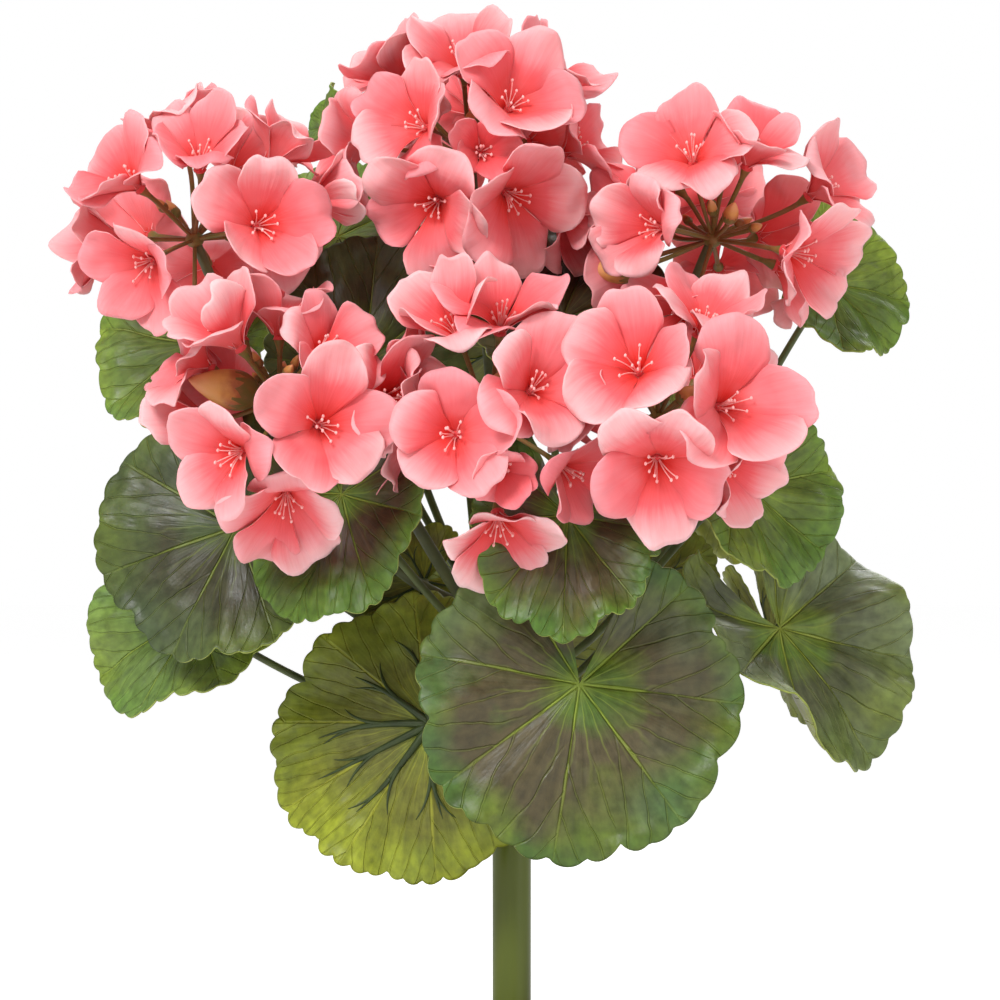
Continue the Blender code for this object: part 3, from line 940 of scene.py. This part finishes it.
    def add_rib(self, shape: Shape, across: Pair, along: Pair, thick: float) -> None:
        """Adds one moulded rib under the blade.

        Args:
            shape: The leaf's mesh.
            across: Where it starts and ends across the lobes.
            along: Where it starts and ends between joint and margin.
            thick: Its radius in mm at its start.
        """
        normal = direction(*self.facing)
        steps = 12
        points = []
        for step in range(steps + 1):
            share = step / steps
            place = self.blade(
                across[0] + (across[1] - across[0]) * share**1.6,
                along[0] + (along[1] - along[0]) * share,
            )
            points.append(place - normal * (self.thickness + 0.1))
        shape.tube(points, lambda share: thick * (1 - share) ** 0.8 + 0.1, 6, Finish.RIB)


LEAVES = (
    Leaf("leaf_left_upper", (-109, 16, 359), (-20, 35), -125, (38, 1.0), 10, (253, -130),
         Finish.LEAF_BRIGHT, pleat=2.6),
    Leaf("leaf_left_dark", (-92, -30, 296), (-15, 12), -105, (52, 0.95), 12, (246, -82),
         Finish.LEAF_DARK, curl=(8, -20, -20, 5), pleat=2.6),
    Leaf("leaf_left_lower", (-107, 0, 266), (-25, 25), -105, (47, 0.8), 12, (224, -90),
         Finish.LEAF_BRIGHT, curl=(20, -20, -30, 0), pleat=5.5, wave=4.0),
    Leaf("leaf_left_front", (-56, -54, 307), (-30, 28), 190, (46, 0.8), 30, (250, -22),
         Finish.LEAF_BROWN, curl=(-10, -10, -25, 0), pleat=3.0),
    Leaf("leaf_olive_front", (-27, -27, 230), (165, -12), -115, (62, 0.82), 60, (226, -48),
         Finish.LEAF_DARK, curl=(5, 8, 12, 0), pleat=1.8, wave=4.0, rib=1.6),
    Leaf("leaf_large_front", (22, -64, 245), (6, 12), 189, (61, 0.95), 18, (230, 15),
         Finish.LEAF_ZONED, curl=(-12, -14, -22, 8), pleat=2.8, wave=2.8),
    Leaf("leaf_middle_front", (18, -68, 300), (0, 32), 182, (44, 0.8), 30, (246, 8),
         Finish.LEAF_BROWN, curl=(-15, -10, -25, 0), pleat=2.4),
    Leaf("leaf_right_upper", (77, -42, 310), (35, 15), 115, (40, 0.9), 20, (246, 52),
         Finish.LEAF_BRIGHT, cup=0.16, curl=(10, 15, -30, 20), pleat=3.6, wave=3.0),
    Leaf("leaf_right_wavy", (90, -18, 262), (22, 22), 138, (58, 0.8), 26, (234, 70),
         Finish.LEAF_PAINTED_SHEEN, curl=(-15, 85, -30, 20), pleat=7.5, wave=5.5),
    Leaf("leaf_right_high", (110, 12, 379), (25, 25), 85, (32, 1.0), 12, (256, 92),
         Finish.LEAF_BRIGHT, pleat=3.0),
    Leaf("leaf_top_small", (-66, 48, 436), (-75, 10), 10, (16, 0.9), 12, (250, -160),
         Finish.LEAF_BRIGHT, pleat=1.0, wave=1.0, columns=168, rows=14),
    Leaf("leaf_left_back", (-60, 26, 396), (-10, 20), -30, (32, 0.9), 12, (262, -155), Finish.LEAF_BRIGHT),
    Leaf("leaf_dark_fan", (-50, -8, 351), (10, 12), 8, (45, 0.85), 14, (266, -150),
         Finish.LEAF_DARK, curl=(-10, -10, -10, 10), pleat=2.6),
    Leaf("leaf_dark_middle", (17, -20, 366), (5, 25), 20, (40, 0.95), 14, (262, 28),
         Finish.LEAF_MAROON_IN_SHADE, pleat=2.6),
    Leaf("leaf_right_inner", (48, 28, 277), (180, 5), 105, (27, 0.9), 14, (236, 118),
         Finish.LEAF_BRIGHT, pleat=1.4, wave=1.5),
    Leaf("leaf_left_inner", (-30, 8, 277), (-176, 2), -120, (26, 0.9), 14, (232, -114),
         Finish.LEAF_DARK, pleat=1.2, wave=1.0),
    Leaf("leaf_back_left", (-72, 62, 312), (-148, 38), -125, (46, 0.95), 12, (246, -142),
         Finish.LEAF_ZONED, pleat=3.0),
    Leaf("leaf_back_right", (68, 70, 318), (148, 38), 125, (46, 0.95), 12, (248, 156),
         Finish.LEAF_BROWN, pleat=2.6),
    Leaf("leaf_back_low", (4, 80, 258), (178, 30), 175, (50, 0.95), 12, (232, 178),
         Finish.LEAF_ZONED, pleat=2.8),
    Leaf("leaf_back_high", (0, 72, 362), (-178, 48), -176, (42, 0.95), 12, (256, -174),
         Finish.LEAF_BRIGHT, pleat=2.6),
    Leaf("leaf_back_side", (92, 54, 258), (115, 30), 130, (42, 0.95), 12, (226, 122),
         Finish.LEAF_BRIGHT, pleat=3.2),
)


# ---------------------------------------------------------------- flowers

PETALS = 5


@dataclass
class Bloom:
    """One floret of a flower head.

    Attributes:
        azimuth: Azimuth of its throat from the hub.
        elevation: Elevation of its throat from the hub.
        reach: Distance of its throat from the hub in mm.
        facing: Azimuth and elevation that it looks to, or None for straight out.
        size: Length of a petal in mm.
        spread: 0 for a closed cup, 1 for flat open.
        roll: Clock direction of its first petal.
        pale: How far its petal tips fade, 0 to 1.
        painted_shade: How far its petals are painted a deeper red, painted shade for a floret that sits in
            shade, 0 to 1.
        cad: True if a CAD node stands at its place.
    """

    azimuth: float
    elevation: float
    reach: float = 34.0
    facing: Pair | None = None
    size: float = 23.0
    spread: float = 0.85
    roll: float = 0.0
    pale: float = 0.25
    painted_shade: float = 0.0
    cad: bool = True

    def throat(self, hub: Vector) -> Vector:
        """Returns the place of the throat in mm."""
        return hub + direction(self.azimuth, self.elevation) * self.reach

    def outlook(self) -> Vector:
        """Returns the direction that the floret looks to."""
        return direction(*(self.facing or (self.azimuth, self.elevation)))


@dataclass
class Petal:
    """One obovate petal in its floret's own frame: it leaves the throat steeply, then spreads and curls.

    Attributes:
        length: Length in mm.
        width: Greatest width in mm.
        turn: Angle round the floret's axis, in radians.
        lean: Start and end slope of its middle line above the floret's plane, in degrees.
        twist: Slope across it, so that each petal overlaps the next.
        cup: Rise of its sides as a share of their distance from the middle.
        dent: Depth of the notch in its tip, in mm.
        curl: Further slope of its tip, in degrees: above 0 it curls inwards.
        seed: Place in the noise field.
    """

    length: float
    width: float
    turn: float
    lean: Pair
    twist: float
    cup: float
    dent: float
    curl: float
    seed: Vector
    crown: float = 0.5

    def place(self, across: float, along: float) -> Vector:
        """Returns the place in mm of a point across and along the petal."""
        side = 2 * across - 1
        round_tip = self.crown + (1 - self.crown) * math.sqrt(1 - (0.97 * side) ** 2)
        arc = along * (1 - along**1.3 * (1 - round_tip))
        reach = rise = 0.0
        steps = 10
        for step in range(steps):
            share = (step + 0.5) / steps * arc
            slope = self.lean[0] + (self.lean[1] - self.lean[0]) * share**0.75
            slope += self.curl * smooth(0.6, 1.05, share)
            stretch = self.length * arc / steps
            reach += math.cos(math.radians(slope)) * stretch
            rise += math.sin(math.radians(slope)) * stretch
        swell = 0.22 + 0.78 * smooth(0.0, 0.76, along)
        x = side * self.width / 2 * swell
        reach -= self.dent * math.exp(-((side / 0.25) ** 2)) * along**8
        rise += self.twist * x * along + self.cup * side**2 * self.width / 2 * swell
        ripple = math.sin(side * 3.6 + self.seed.x) * 1.1 + math.sin(side * 7.5 + self.seed.y) * 0.4
        rise += ripple * along**2.5
        spot = Vector((x, reach, 0)) * 0.10 + self.seed
        rise += 4.2 * noise.noise(spot) * along
        rise += 0.8 * noise.noise(spot * 2.6) * along
        x += 0.9 * noise.noise(spot + Vector((9, 0, 0))) * along
        reach += 1.0 + 0.7 * noise.noise(Vector((side * 2.0, 3, 1)) + self.seed) * along**6
        cosine, sine = math.cos(self.turn), math.sin(self.turn)
        return Vector((x * cosine + reach * sine, reach * cosine - x * sine, rise))


@dataclass
class Floret:
    """Petals, stamens and calyx of one floret."""

    name: str
    bloom: Bloom
    hub: Vector
    dice: random.Random
    replaced: tuple = ()
    stamen_count: int = 9
    wall: float = 0.28
    columns: int = 16
    rows: int = 16

    def build(self) -> None:
        """Builds the floret as one piece."""
        bloom, dice = self.bloom, self.dice
        frame = posed(bloom.throat(self.hub), bloom.outlook(), bloom.roll)
        shape = Shape([Finish.PETAL, Finish.PETAL_BACK, Finish.PETAL_EDGE, Finish.STAMEN, Finish.CALYX] )
        shut = 1 - bloom.spread
        for number in range(PETALS):
            petal = Petal(
                length=bloom.size * dice.uniform(0.85, 1.01),
                width=bloom.size * dice.uniform(0.68, 0.88) * (1 - 0.12 * shut),
                turn=math.tau * (number + dice.uniform(-0.15, 0.15)) / PETALS,
                lean=(56 + 22 * shut, 8 + 66 * shut + dice.uniform(-30, 30)),
                twist=0.08 + dice.uniform(-0.22, 0.22),
                cup=dice.uniform(-0.25, 0.3) + 0.25 * shut,
                dent=dice.choice((0.0, 0.0, 0.6, 1.6)),
                curl=dice.uniform(-75, 35),
                seed=Vector([dice.uniform(-40, 40) for _ in range(3)]),
            )
            # the tone holds how far the tips fade, and how far the petal is painted a deeper red for shade
            tone = (
                min(max(bloom.pale + dice.uniform(-0.2, 0.35), 0), 1),
                min(max(bloom.painted_shade + dice.uniform(-0.12, 0.12), 0), 1),
                0.0,
            )
            shape.sheet(
                self.columns,
                self.rows,
                lambda across, along, petal=petal: frame @ petal.place(across, along),
                Finish.PETAL,
                tone,
            )
        shape.thicken(self.wall, Finish.PETAL_BACK, Finish.PETAL_EDGE)
        self.throat(shape, frame)
        self.stamens(shape, frame)
        self.calyx(shape, frame)
        shape.piece(self.name, self.replaced)

    def throat(self, shape: Shape, frame: Matrix) -> None:
        """Adds the floor of the throat, where the petals are glued, in the full deeper red of painted shade.
        """
        points = [frame @ Vector((0, 0, height)) for height in (-1.6, -0.6, 0.5, 1.1)]
        # the throat floor takes the full deeper red: painted shade in the throat's recess
        shape.tube(points, lambda share: 2.3 - 1.2 * share, 10, Finish.PETAL, (0.0, 1.0, 0.0))

    def stamens(self, shape: Shape, frame: Matrix) -> None:
        """Adds the tuft of pale stamens, each with a round tip."""
        count = self.stamen_count
        tall = self.bloom.size * 0.34
        for number in range(count):
            turn = math.tau * number / count + self.dice.uniform(-0.3, 0.3)
            lean = math.radians(self.dice.uniform(6, 34))
            length = tall * self.dice.uniform(0.75, 1.15)
            out = Vector((math.sin(turn), math.cos(turn), 0))
            points = []
            for step in range(6):
                share = step / 5
                side = math.sin(lean * (0.5 + 0.5 * share)) * length * share + 0.5
                up = math.cos(lean * share) * length * share
                points.append(frame @ (out * side + Vector((0, 0, up - 0.5))))
            shape.tube(points, lambda share: 0.24 - 0.06 * share, 5, Finish.STAMEN)
            ball = Matrix.Translation(points[-1]) @ Matrix.Diagonal((0.55, 0.55, 0.7, 1))
            shape.blob(ball, Finish.STAMEN, 1)

    def calyx(self, shape: Shape, frame: Matrix) -> None:
        """Adds the calyx behind the petals, as one flared round cup."""
        points = [frame @ Vector((0, 0, height)) for height in (-7.0, -5.0, -3.4, -2.0, -0.9)]
        shape.tube(points, lambda share: 0.8 + 1.1 * smooth(0.0, 0.9, share), 10, Finish.CALYX )


@dataclass
class Bud:
    """A pointed bud.

    Attributes:
        azimuth: Azimuth of its foot from the hub.
        elevation: Elevation of its foot from the hub.
        reach: Distance of its foot from the hub in mm.
        facing: Azimuth and elevation that it points to.
        length: Length in mm.
        radius: Greatest radius in mm.
    """

    azimuth: float
    elevation: float
    reach: float
    facing: Pair
    length: float = 12.0
    radius: float = 3.2


@dataclass
class FlowerHead:
    """One flower head: its stalk, hub, thin flower stems, buds and florets.

    Attributes:
        name: The head's name.
        hub: Where its stalk ends, in mm.
        root: Height in mm and azimuth at which the stalk leaves the stem.
        arrival: Azimuth and elevation of the stalk's way into the hub.
        blooms: Its florets, of which those with CAD nodes come first.
        buds: Its buds.
        rear: True if florets also fill the side that faces the main stem.
        spacing: Least angle between a filling floret and its neighbours, in degrees.
    """

    name: str
    hub: Triple
    root: Pair
    arrival: Pair
    blooms: tuple
    buds: tuple = ()
    rear: bool = True
    spacing: float = 41.0
    small_buds: int = 6
    radius: float = 2.3

    def filled(self, dice: random.Random) -> list[Bloom]:
        """Returns the listed florets, and smaller ones that close the gaps between them."""
        blooms = list(self.blooms)
        inward = Vector((-self.hub[0], -self.hub[1], 0)).normalized()
        tries = 60
        for number in range(tries):
            lift = math.degrees(math.asin(1 - 1.55 * (number + 0.5) / tries))
            turn = number * 137.5 % 360
            way = direction(turn, lift)
            near = min(way.angle(direction(bloom.azimuth, bloom.elevation)) for bloom in blooms)
            if near < math.radians(self.spacing) or (not self.rear and way.dot(inward) > 0.1):
                continue
            blooms.append(
                Bloom(
                    turn,
                    lift,
                    dice.uniform(21, 26),
                    (turn + dice.uniform(-15, 15), lift + dice.uniform(-12, 12)),
                    dice.uniform(24, 27),
                    dice.uniform(0.65, 0.85),
                    dice.uniform(0, 72),
                    cad=False,
                )
            )
        return blooms

    def build(self) -> None:
        """Builds the stalk with its buds, then each floret."""
        hub = Vector(self.hub)
        dice = random.Random(f"head {self.name}")
        shape = Shape([Finish.FLOWER_STALK, Finish.PEDICEL, Finish.CALYX, Finish.BUD])
        route = stalk_route(self.root, hub, direction(*self.arrival), 44)
        shape.tube(
            route,
            lambda share: self.radius * (1 - 0.25 * share) + 0.9 * (1 - smooth(0, 0.05, share)),
            14,
            Finish.FLOWER_STALK,
        )
        ball = Matrix.Translation(hub) @ Matrix.Diagonal((3.2, 3.2, 2.8, 1))
        shape.blob(ball, Finish.CALYX, 3)
        blooms = self.filled(random.Random(f"fill {self.name}"))
        for bloom in blooms:
            end = bloom.throat(hub) - bloom.outlook() * 5.0
            self.pedicel(shape, hub, end, bloom.outlook())
        for bud in self.buds:
            self.bud(shape, hub, bud)
        for number in range(self.small_buds):
            small = Bud(number * 60 + dice.uniform(-20, 20), dice.uniform(5, 60), dice.uniform(9, 15), (0, 0))
            small.facing = (small.azimuth + dice.uniform(-25, 25), small.elevation)
            small.length, small.radius = dice.uniform(5.5, 8.0), dice.uniform(1.3, 1.8)
            self.bud(shape, hub, small)
        shape.piece(f"flower_stalk_{self.name}_look", [f"flower_stalk_{self.name}"])
        for number, bloom in enumerate(blooms, 1):
            node = f"floret_{self.name}_{number}"
            Floret(
                name=f"{node}_look" if bloom.cad else f"{node}_extra",
                bloom=bloom,
                hub=hub,
                dice=random.Random(node),
                replaced=(node,) if bloom.cad else (),
            ).build()

    def pedicel(self, shape: Shape, hub: Vector, end: Vector, arrival: Vector) -> None:
        """Adds one thin flower stem from the hub to a floret or bud."""
        length = (end - hub).length
        first = hub + (end - hub).normalized() * length * 0.35
        route = interpolate_bezier(hub, first, end - arrival * length * 0.25, end, 9)
        shape.tube(route, lambda share: 0.65 + 0.25 * share, 8, Finish.PEDICEL)

    def bud(self, shape: Shape, hub: Vector, bud: Bud) -> None:
        """Adds a pointed bud in its calyx, on its stem."""
        foot = hub + direction(bud.azimuth, bud.elevation) * bud.reach
        way = direction(*bud.facing)
        self.pedicel(shape, hub, foot, way)
        steps = 16
        points = [foot + way * bud.length * step / steps for step in range(steps + 1)]

        def radius(share: float) -> float:
            """Returns the bud's radius: full below its middle, drawn to a point."""
            return bud.radius * (math.sin(math.pi * share**0.72) ** 0.8 * 0.98 + 0.02)

        shape.tube(points, radius, 16, Finish.BUD)
        cup = points[: steps // 2]
        shape.tube(
            cup,
            lambda share: radius(share * 0.44) + 0.22 * (1 - smooth(0.6, 1.0, share)),
            12,
            Finish.CALYX,
        )


# a Bloom's ninth value, after its pale tips, is painted shade: a deeper red for florets that sit in shade
FLOWER_HEADS = (
    FlowerHead(
        "left",
        (-106, -28, 392),
        (268, -84),
        (-60, 65),
        (
            Bloom(-20, -14, 34, (-32, -22), 27, 0.88, 10),
            Bloom(40, 5, 34, (22, 5), 29, 0.88, 5),
            Bloom(8, 46, 32, (0, 48), 25, 0.5, 20, 0.2),
            Bloom(-42, 32, 31, (-48, 30), 27, 0.82, 15),
            Bloom(150, 48, 32, (140, 50), 26, 0.8),
            Bloom(-150, 5, 34, None, 27, 0.8),
            Bloom(92, 46, 36, (95, 50), 25, 0.7, 30, cad=False),
            Bloom(85, 18, 40, (72, 15), 24, 0.35, 0, 0.5, cad=False),
            Bloom(-84, 0, 24, (-80, 0), 27, 0.8, 0, cad=False),
            Bloom(-30, 76, 32, (-100, 68), 26, 0.7, 0, cad=False),
            Bloom(5, -72, 34, (10, -80), 20, 0.12, 0, 0.8, cad=False),
        ),
    ),
    FlowerHead(
        "top",
        (-14, -10, 420),
        (268, 180),
        (-20, 75),
        (
            Bloom(-8, 60, 33, (-5, 48), 29, 0.88, 0),
            Bloom(24, 25, 34, (20, 24), 31, 0.88, 20),
            Bloom(-26, 14, 34, (-36, 12), 27, 0.82, 10),
            Bloom(-20, -27, 34, (-20, -20), 30, 0.9, 30),
            Bloom(70, 2, 34, (72, 28), 27, 0.8),
            Bloom(178, 30, 34, None, 27, 0.8),
            Bloom(6, 0, 33, (8, 2), 18, 0.4, 20, 0.0, 0.4, cad=False),
            Bloom(22, -22, 34, (22, -26), 32, 0.85, 15, cad=False),
            Bloom(70, -32, 36, (70, -32), 25, 0.6, 0, 0.4, cad=False),
            Bloom(-12, -64, 36, (-10, -62), 24, 0.8, 0, 0.0, 0.5, cad=False),
            Bloom(-72, 6, 36, (-75, 5), 27, 0.8, 0, 0.4, cad=False),
            Bloom(-72, 46, 34, (-62, 48), 26, 0.75, cad=False),
            Bloom(72, 44, 34, (66, 44), 26, 0.75, cad=False),
        ),
    ),
    FlowerHead(
        "right",
        (67, -28, 392),
        (264, 76),
        (60, 60),
        (
            Bloom(-18, 44, 34, (-12, 40), 29, 0.88, 0),
            Bloom(84, 24, 36, (60, 30), 27, 0.8),
            Bloom(-34, 4, 32, (-42, 2), 27, 0.8, 20),
            Bloom(44, -9, 34, (52, -12), 30, 0.68, 10),
            Bloom(-18, -44, 34, (-12, -32), 29, 0.86, 5),
            Bloom(178, 25, 34, None, 27, 0.8),
            Bloom(28, 46, 33, (30, 52), 24, 0.65, 0, cad=False),
        ),
        (Bud(-80, -20, 26, (-98, -6), 17, 5.4), Bud(20, 20, 14, (15, 40), 10, 2.6)),
    ),
    FlowerHead(
        "low_left",
        (-76, -60, 338),
        (262, -36),
        (-60, -5),
        (
            Bloom(26, -16, 32, (16, -2), 31, 0.9, 5),
            Bloom(-22, -31, 33, (-40, -14), 28, 0.82, 20),
            Bloom(-30, 34, 30, (-50, 46), 28, 0.5, 10, 0.3),
            Bloom(10, -62, 34, (4, -48), 29, 0.8, 0, 0.4),
            Bloom(68, 0, 36, (40, 5), 29, 0.85, 10, 0.4, cad=False),
        ),
        (Bud(-60, 8, 7, (-72, 12), 25, 6.6), Bud(20, 12, 12, (10, 20), 9, 2.6)),
        rear=False,
    ),
    FlowerHead(
        "low_middle",
        (-8, -66, 331),
        (265, 0),
        (-5, 40),
        (
            Bloom(-18, -9, 33, (-12, 0), 28, 0.88, 0),
            Bloom(25, 15, 33, (20, 18), 29, 0.88, 20),
            Bloom(14, -66, 34, (10, -52), 26, 0.8, 0, 0.7),
            Bloom(-35, 58, 32, (-30, 50), 27, 0.8, 0, 0.5),
            Bloom(7, -26, 34, (7, -20), 18, 0.42, 10, 0.0, 0.3, cad=False),
            Bloom(50, -26, 34, (50, -30), 25, 0.75, 0, 0.0, 0.2, cad=False),
            Bloom(18, 66, 32, (10, 55), 27, 0.78, 0, 0.2, cad=False),
        ),
        rear=False,
    ),
    FlowerHead(
        "low_right",
        (47, -70, 331),
        (258, 44),
        (30, 12),
        (
            Bloom(-13, 26, 33, (-10, 22), 31, 0.9, 0),
            Bloom(-2, -22, 33, (0, -28), 31, 0.88, 180),
            Bloom(33, 6, 34, (32, 6), 32, 0.86, 10),
            Bloom(50, 58, 33, None, 26, 0.75),
        ),
        (Bud(30, 25, 14, (50, 30), 9, 2.8),),
        rear=False,
    ),
)


# ---------------------------------------------------------------- pot and soil


@dataclass
class Pot:
    """Plain thrown pot with a thick rolled rim band and drain holes."""

    wall: float = 6.0
    floor: float = 8.0
    rim_depth: float = 30.0
    rim_step: float = 7.0
    round_radius: float = 2.2
    drain_radius: float = 4.5
    drain_circle: float = 27.0
    drain_count: int = 4
    steps: int = 128

    def build(self) -> None:
        """Builds the pot at the frame's own size."""
        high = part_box("pot")[1]
        height, rim = high.z / MM, high.x / MM
        base, body = rim * 2 / 3, rim - self.rim_step - 1.0
        rim_foot = height - self.rim_depth
        curve = self.round_radius
        inner_top = body - self.wall + 1.0
        profile = [(0.0, 0.0), (base - curve, 0.0)]
        profile += [
            (base - curve + curve * math.sin(a), curve - curve * math.cos(a))
            for a in (math.pi / 2 * n / 5 for n in range(1, 6))
        ]
        profile += [
            (base + (body - base) * n / 20, curve + (rim_foot - curve) * n / 20)
            for n in range(1, 21)
        ]
        profile += [(body + 0.6, rim_foot), (rim - 2.4, rim_foot + 0.1), (rim - 1.2, rim_foot + 1.2)]
        profile += [
            (rim - 1.0 + 0.9 * n / 8, rim_foot + 2.5 + (height - curve - rim_foot - 2.5) * n / 8)
            for n in range(9)
        ]
        profile += [
            (rim - curve + (curve - 0.1) * math.cos(a), height - curve + curve * math.sin(a))
            for a in (math.pi / 2 * n / 6 for n in range(1, 7))
        ]
        profile += [
            (inner_top + curve - curve * math.sin(a), height - curve + curve * math.cos(a))
            for a in (math.pi / 2 * n / 6 for n in range(0, 7))
        ]
        inner_base = base - self.wall + 1.0
        profile += [
            (
                inner_top + (inner_base - inner_top) * n / 12,
                height - curve + (self.floor - height + curve) * n / 12,
            )
            for n in range(1, 13)
        ]
        profile.append((0.0, self.floor))
        shape = Shape([Finish.TERRACOTTA])
        shape.turned(profile, self.steps, Finish.TERRACOTTA)
        pot = shape.piece("pot_look", ["pot"])
        self.drill(pot)

    def drill(self, pot: bpy.types.Object) -> None:
        """Cuts the drain holes through the floor."""
        cutter = Shape([Finish.TERRACOTTA])
        for number in range(self.drain_count):
            turn = math.tau * (number + 0.5) / self.drain_count
            centre = Vector((math.cos(turn), math.sin(turn), 0)) * self.drain_circle
            bmesh.ops.create_cone(
                cutter.bm,
                cap_ends=True,
                segments=32,
                radius1=self.drain_radius * MM,
                radius2=self.drain_radius * MM,
                depth=30 * MM,
                matrix=Matrix.Translation(centre * MM),
            )
        mesh = bpy.data.meshes.new("drill")
        cutter.bm.to_mesh(mesh)
        cutter.bm.free()
        tool = bpy.data.objects.new("drill", mesh)
        bpy.context.scene.collection.objects.link(tool)
        cut = pot.modifiers.new("drill", "BOOLEAN")
        cut.operation = "DIFFERENCE"
        cut.solver = "EXACT"
        cut.object = tool
        graph = bpy.context.evaluated_depsgraph_get()
        drilled = bpy.data.meshes.new_from_object(pot.evaluated_get(graph))
        pot.modifiers.clear()
        pot.data = drilled
        bpy.data.objects.remove(tool)


@dataclass
class Soil:
    """Crumbly soil with loose clods and grains of perlite."""

    sink: float = 0.8
    clods: int = 420
    grains: int = 90

    def build(self) -> None:
        """Builds the soil's body, then the crumbs that lie on it."""
        low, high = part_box("soil")
        top, radius = (high.z - 2.0 * MM) / MM, high.x / MM
        bottom = low.z / MM

        def surface(x: float, y: float) -> float:
            """Returns the height of the soil at a place."""
            spot = Vector((x, y, 0))
            dome = 2.0 * (1 - (spot.length / radius) ** 2)
            lumps = 1.1 * noise.noise(spot * 0.09) + 0.7 * noise.noise(spot * 0.3)
            return top - self.sink + dome + lumps + 0.35 * noise.noise(spot * 0.9)

        shape = Shape([Finish.SOIL])
        rings = 64

        def place(across: float, along: float) -> Vector:
            """Returns a point of the soil's bumpy top, side and flat bottom."""
            turn = across * math.tau
            ring = round(along * (rings + 3))
            reach = radius * min(ring / rings, 1.0)
            x, y = math.cos(turn) * reach, math.sin(turn) * reach
            if ring <= rings:
                return Vector((x, y, surface(x, y)))
            share = {rings + 1: 0.86, rings + 2: 0.66, rings + 3: 0.0}[ring]
            depth = {rings + 1: (top + bottom) / 2, rings + 2: bottom, rings + 3: bottom}[ring]
            return Vector((math.cos(turn) * radius * share, math.sin(turn) * radius * share, depth))

        shape.sheet(160, rings + 3, place, Finish.SOIL, merge=0.01)
        shape.piece("soil_bed", ["soil"])
        dice = random.Random("crumbs")
        crumbs = Shape([Finish.CRUMB, Finish.PERLITE])
        for number in range(self.clods + self.grains):
            pale = number >= self.clods
            reach = (radius - 4) * math.sqrt(dice.random())
            turn = dice.uniform(0, math.tau)
            x, y = math.cos(turn) * reach, math.sin(turn) * reach
            if reach < STEM_RADIUS + 2:
                continue
            big = dice.uniform(0.6, 1.3) if pale else dice.uniform(0.7, 2.6) ** 1.1
            spin = Matrix.Rotation(dice.uniform(0, math.tau), 4, dice.choice("XYZ"))
            stretch = Matrix.Diagonal((big, big * dice.uniform(0.7, 1), big * dice.uniform(0.5, 0.9), 1))
            spot = Vector((x, y, surface(x, y) + big * 0.25))
            crumbs.blob(
                Matrix.Translation(spot) @ spin @ stretch,
                Finish.PERLITE if pale else Finish.CRUMB,
                2,
                0.55,
            )
        crumbs.piece("soil_crumbs")


# ---------------------------------------------------------------- studio


@dataclass
class Studio:
    """White surroundings, a pale floor, soft lights and a level long-lens camera."""

    distance: float = 1.6
    field: float = 0.340
    aim: Triple = (-0.004, 0.0, 0.305)
    sensor: float = 36.0
    room_light: float = 0.5
    floor_lift: float = 0.53

    def build(self) -> None:
        """Builds the floor, the lights and the camera."""
        self.surroundings()
        self.floor()
        self.light("key_light", (-1.0, -1.7, 1.9), 1.0, 54.0)
        self.light("fill_light", (1.7, -1.4, 0.8), 1.4, 9.0)
        self.light("back_light", (0.7, 1.7, 1.7), 1.2, 26.0)
        self.camera()

    def surroundings(self) -> None:
        """Sets an even white world and an untinted view of it."""
        scene = bpy.context.scene
        scene.view_settings.view_transform = "Standard"
        world = bpy.data.worlds.new("white_room")
        world.use_nodes = True
        tree = world.node_tree
        tree.nodes.clear()
        seen = add(tree, "LightPath", {})
        backdrop = add(tree, "Background", {"Color": (1, 1, 1, 1), "Strength": 1.0})
        room = add(tree, "Background", {"Color": (1, 1, 1, 1), "Strength": self.room_light})
        mixed = add(tree, "MixShader", {0: seen, 1: room, 2: backdrop})
        add(tree, "OutputWorld", {"Surface": mixed})
        scene.world = world

    def floor(self) -> None:
        """Adds a wide pale floor."""
        bm = bmesh.new()
        bmesh.ops.create_grid(bm, x_segments=1, y_segments=1, size=12.0)
        mesh = bpy.data.meshes.new("floor")
        bm.to_mesh(mesh)
        bm.free()
        material, tree = new_material("painted_floor")
        seen = add(tree, "LightPath", {})
        lift = add(tree, "Math", {0: seen, 1: self.floor_lift}, operation="MULTIPLY")
        white = (0.92, 0.92, 0.92, 1.0)
        finish_material(
            tree,
            {
                "Base Color": white,
                "Roughness": 0.95,
                "Emission Color": (1.0, 1.0, 1.0, 1.0),
                "Emission Strength": lift,
            },
        )
        mesh.materials.append(material)
        floor = bpy.data.objects.new("floor", mesh)
        bpy.context.scene.collection.objects.link(floor)

    def light(self, name: str, place: Triple, side: float, power: float) -> None:
        """Adds one square soft light that looks at the plant's middle.

        Args:
            name: The light's name.
            place: Its place in metres.
            side: Length of its side in metres.
            power: Its power in watts.
        """
        lamp = bpy.data.lights.new(name, "AREA")
        lamp.size = side
        lamp.energy = power
        thing = bpy.data.objects.new(name, lamp)
        thing.location = place
        way = Vector((0, 0, 0.3)) - Vector(place)
        thing.rotation_euler = way.to_track_quat("-Z", "Y").to_euler()
        bpy.context.scene.collection.objects.link(thing)

    def camera(self) -> None:
        """Adds the camera, level and in front, framed on the bush."""
        lens = bpy.data.cameras.new("camera")
        lens.sensor_width = self.sensor
        lens.lens = self.sensor * self.distance / self.field
        thing = bpy.data.objects.new("camera", lens)
        thing.location = Vector(self.aim) - Vector((0, self.distance, 0))
        thing.rotation_euler = (math.pi / 2, 0, 0)
        bpy.context.scene.collection.objects.link(thing)
        bpy.context.scene.camera = thing


def main() -> None:
    """Builds the plant, its pot and its surroundings."""
    logging.basicConfig(level=logging.INFO, format="%(name)s %(message)s")
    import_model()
    Studio().build()
    Pot().build()
    Soil().build()
    MainStem().build()
    for leaf in LEAVES:
        leaf.build()
    for head in FLOWER_HEADS:
        head.build()


if __name__ == "__main__":
    main()
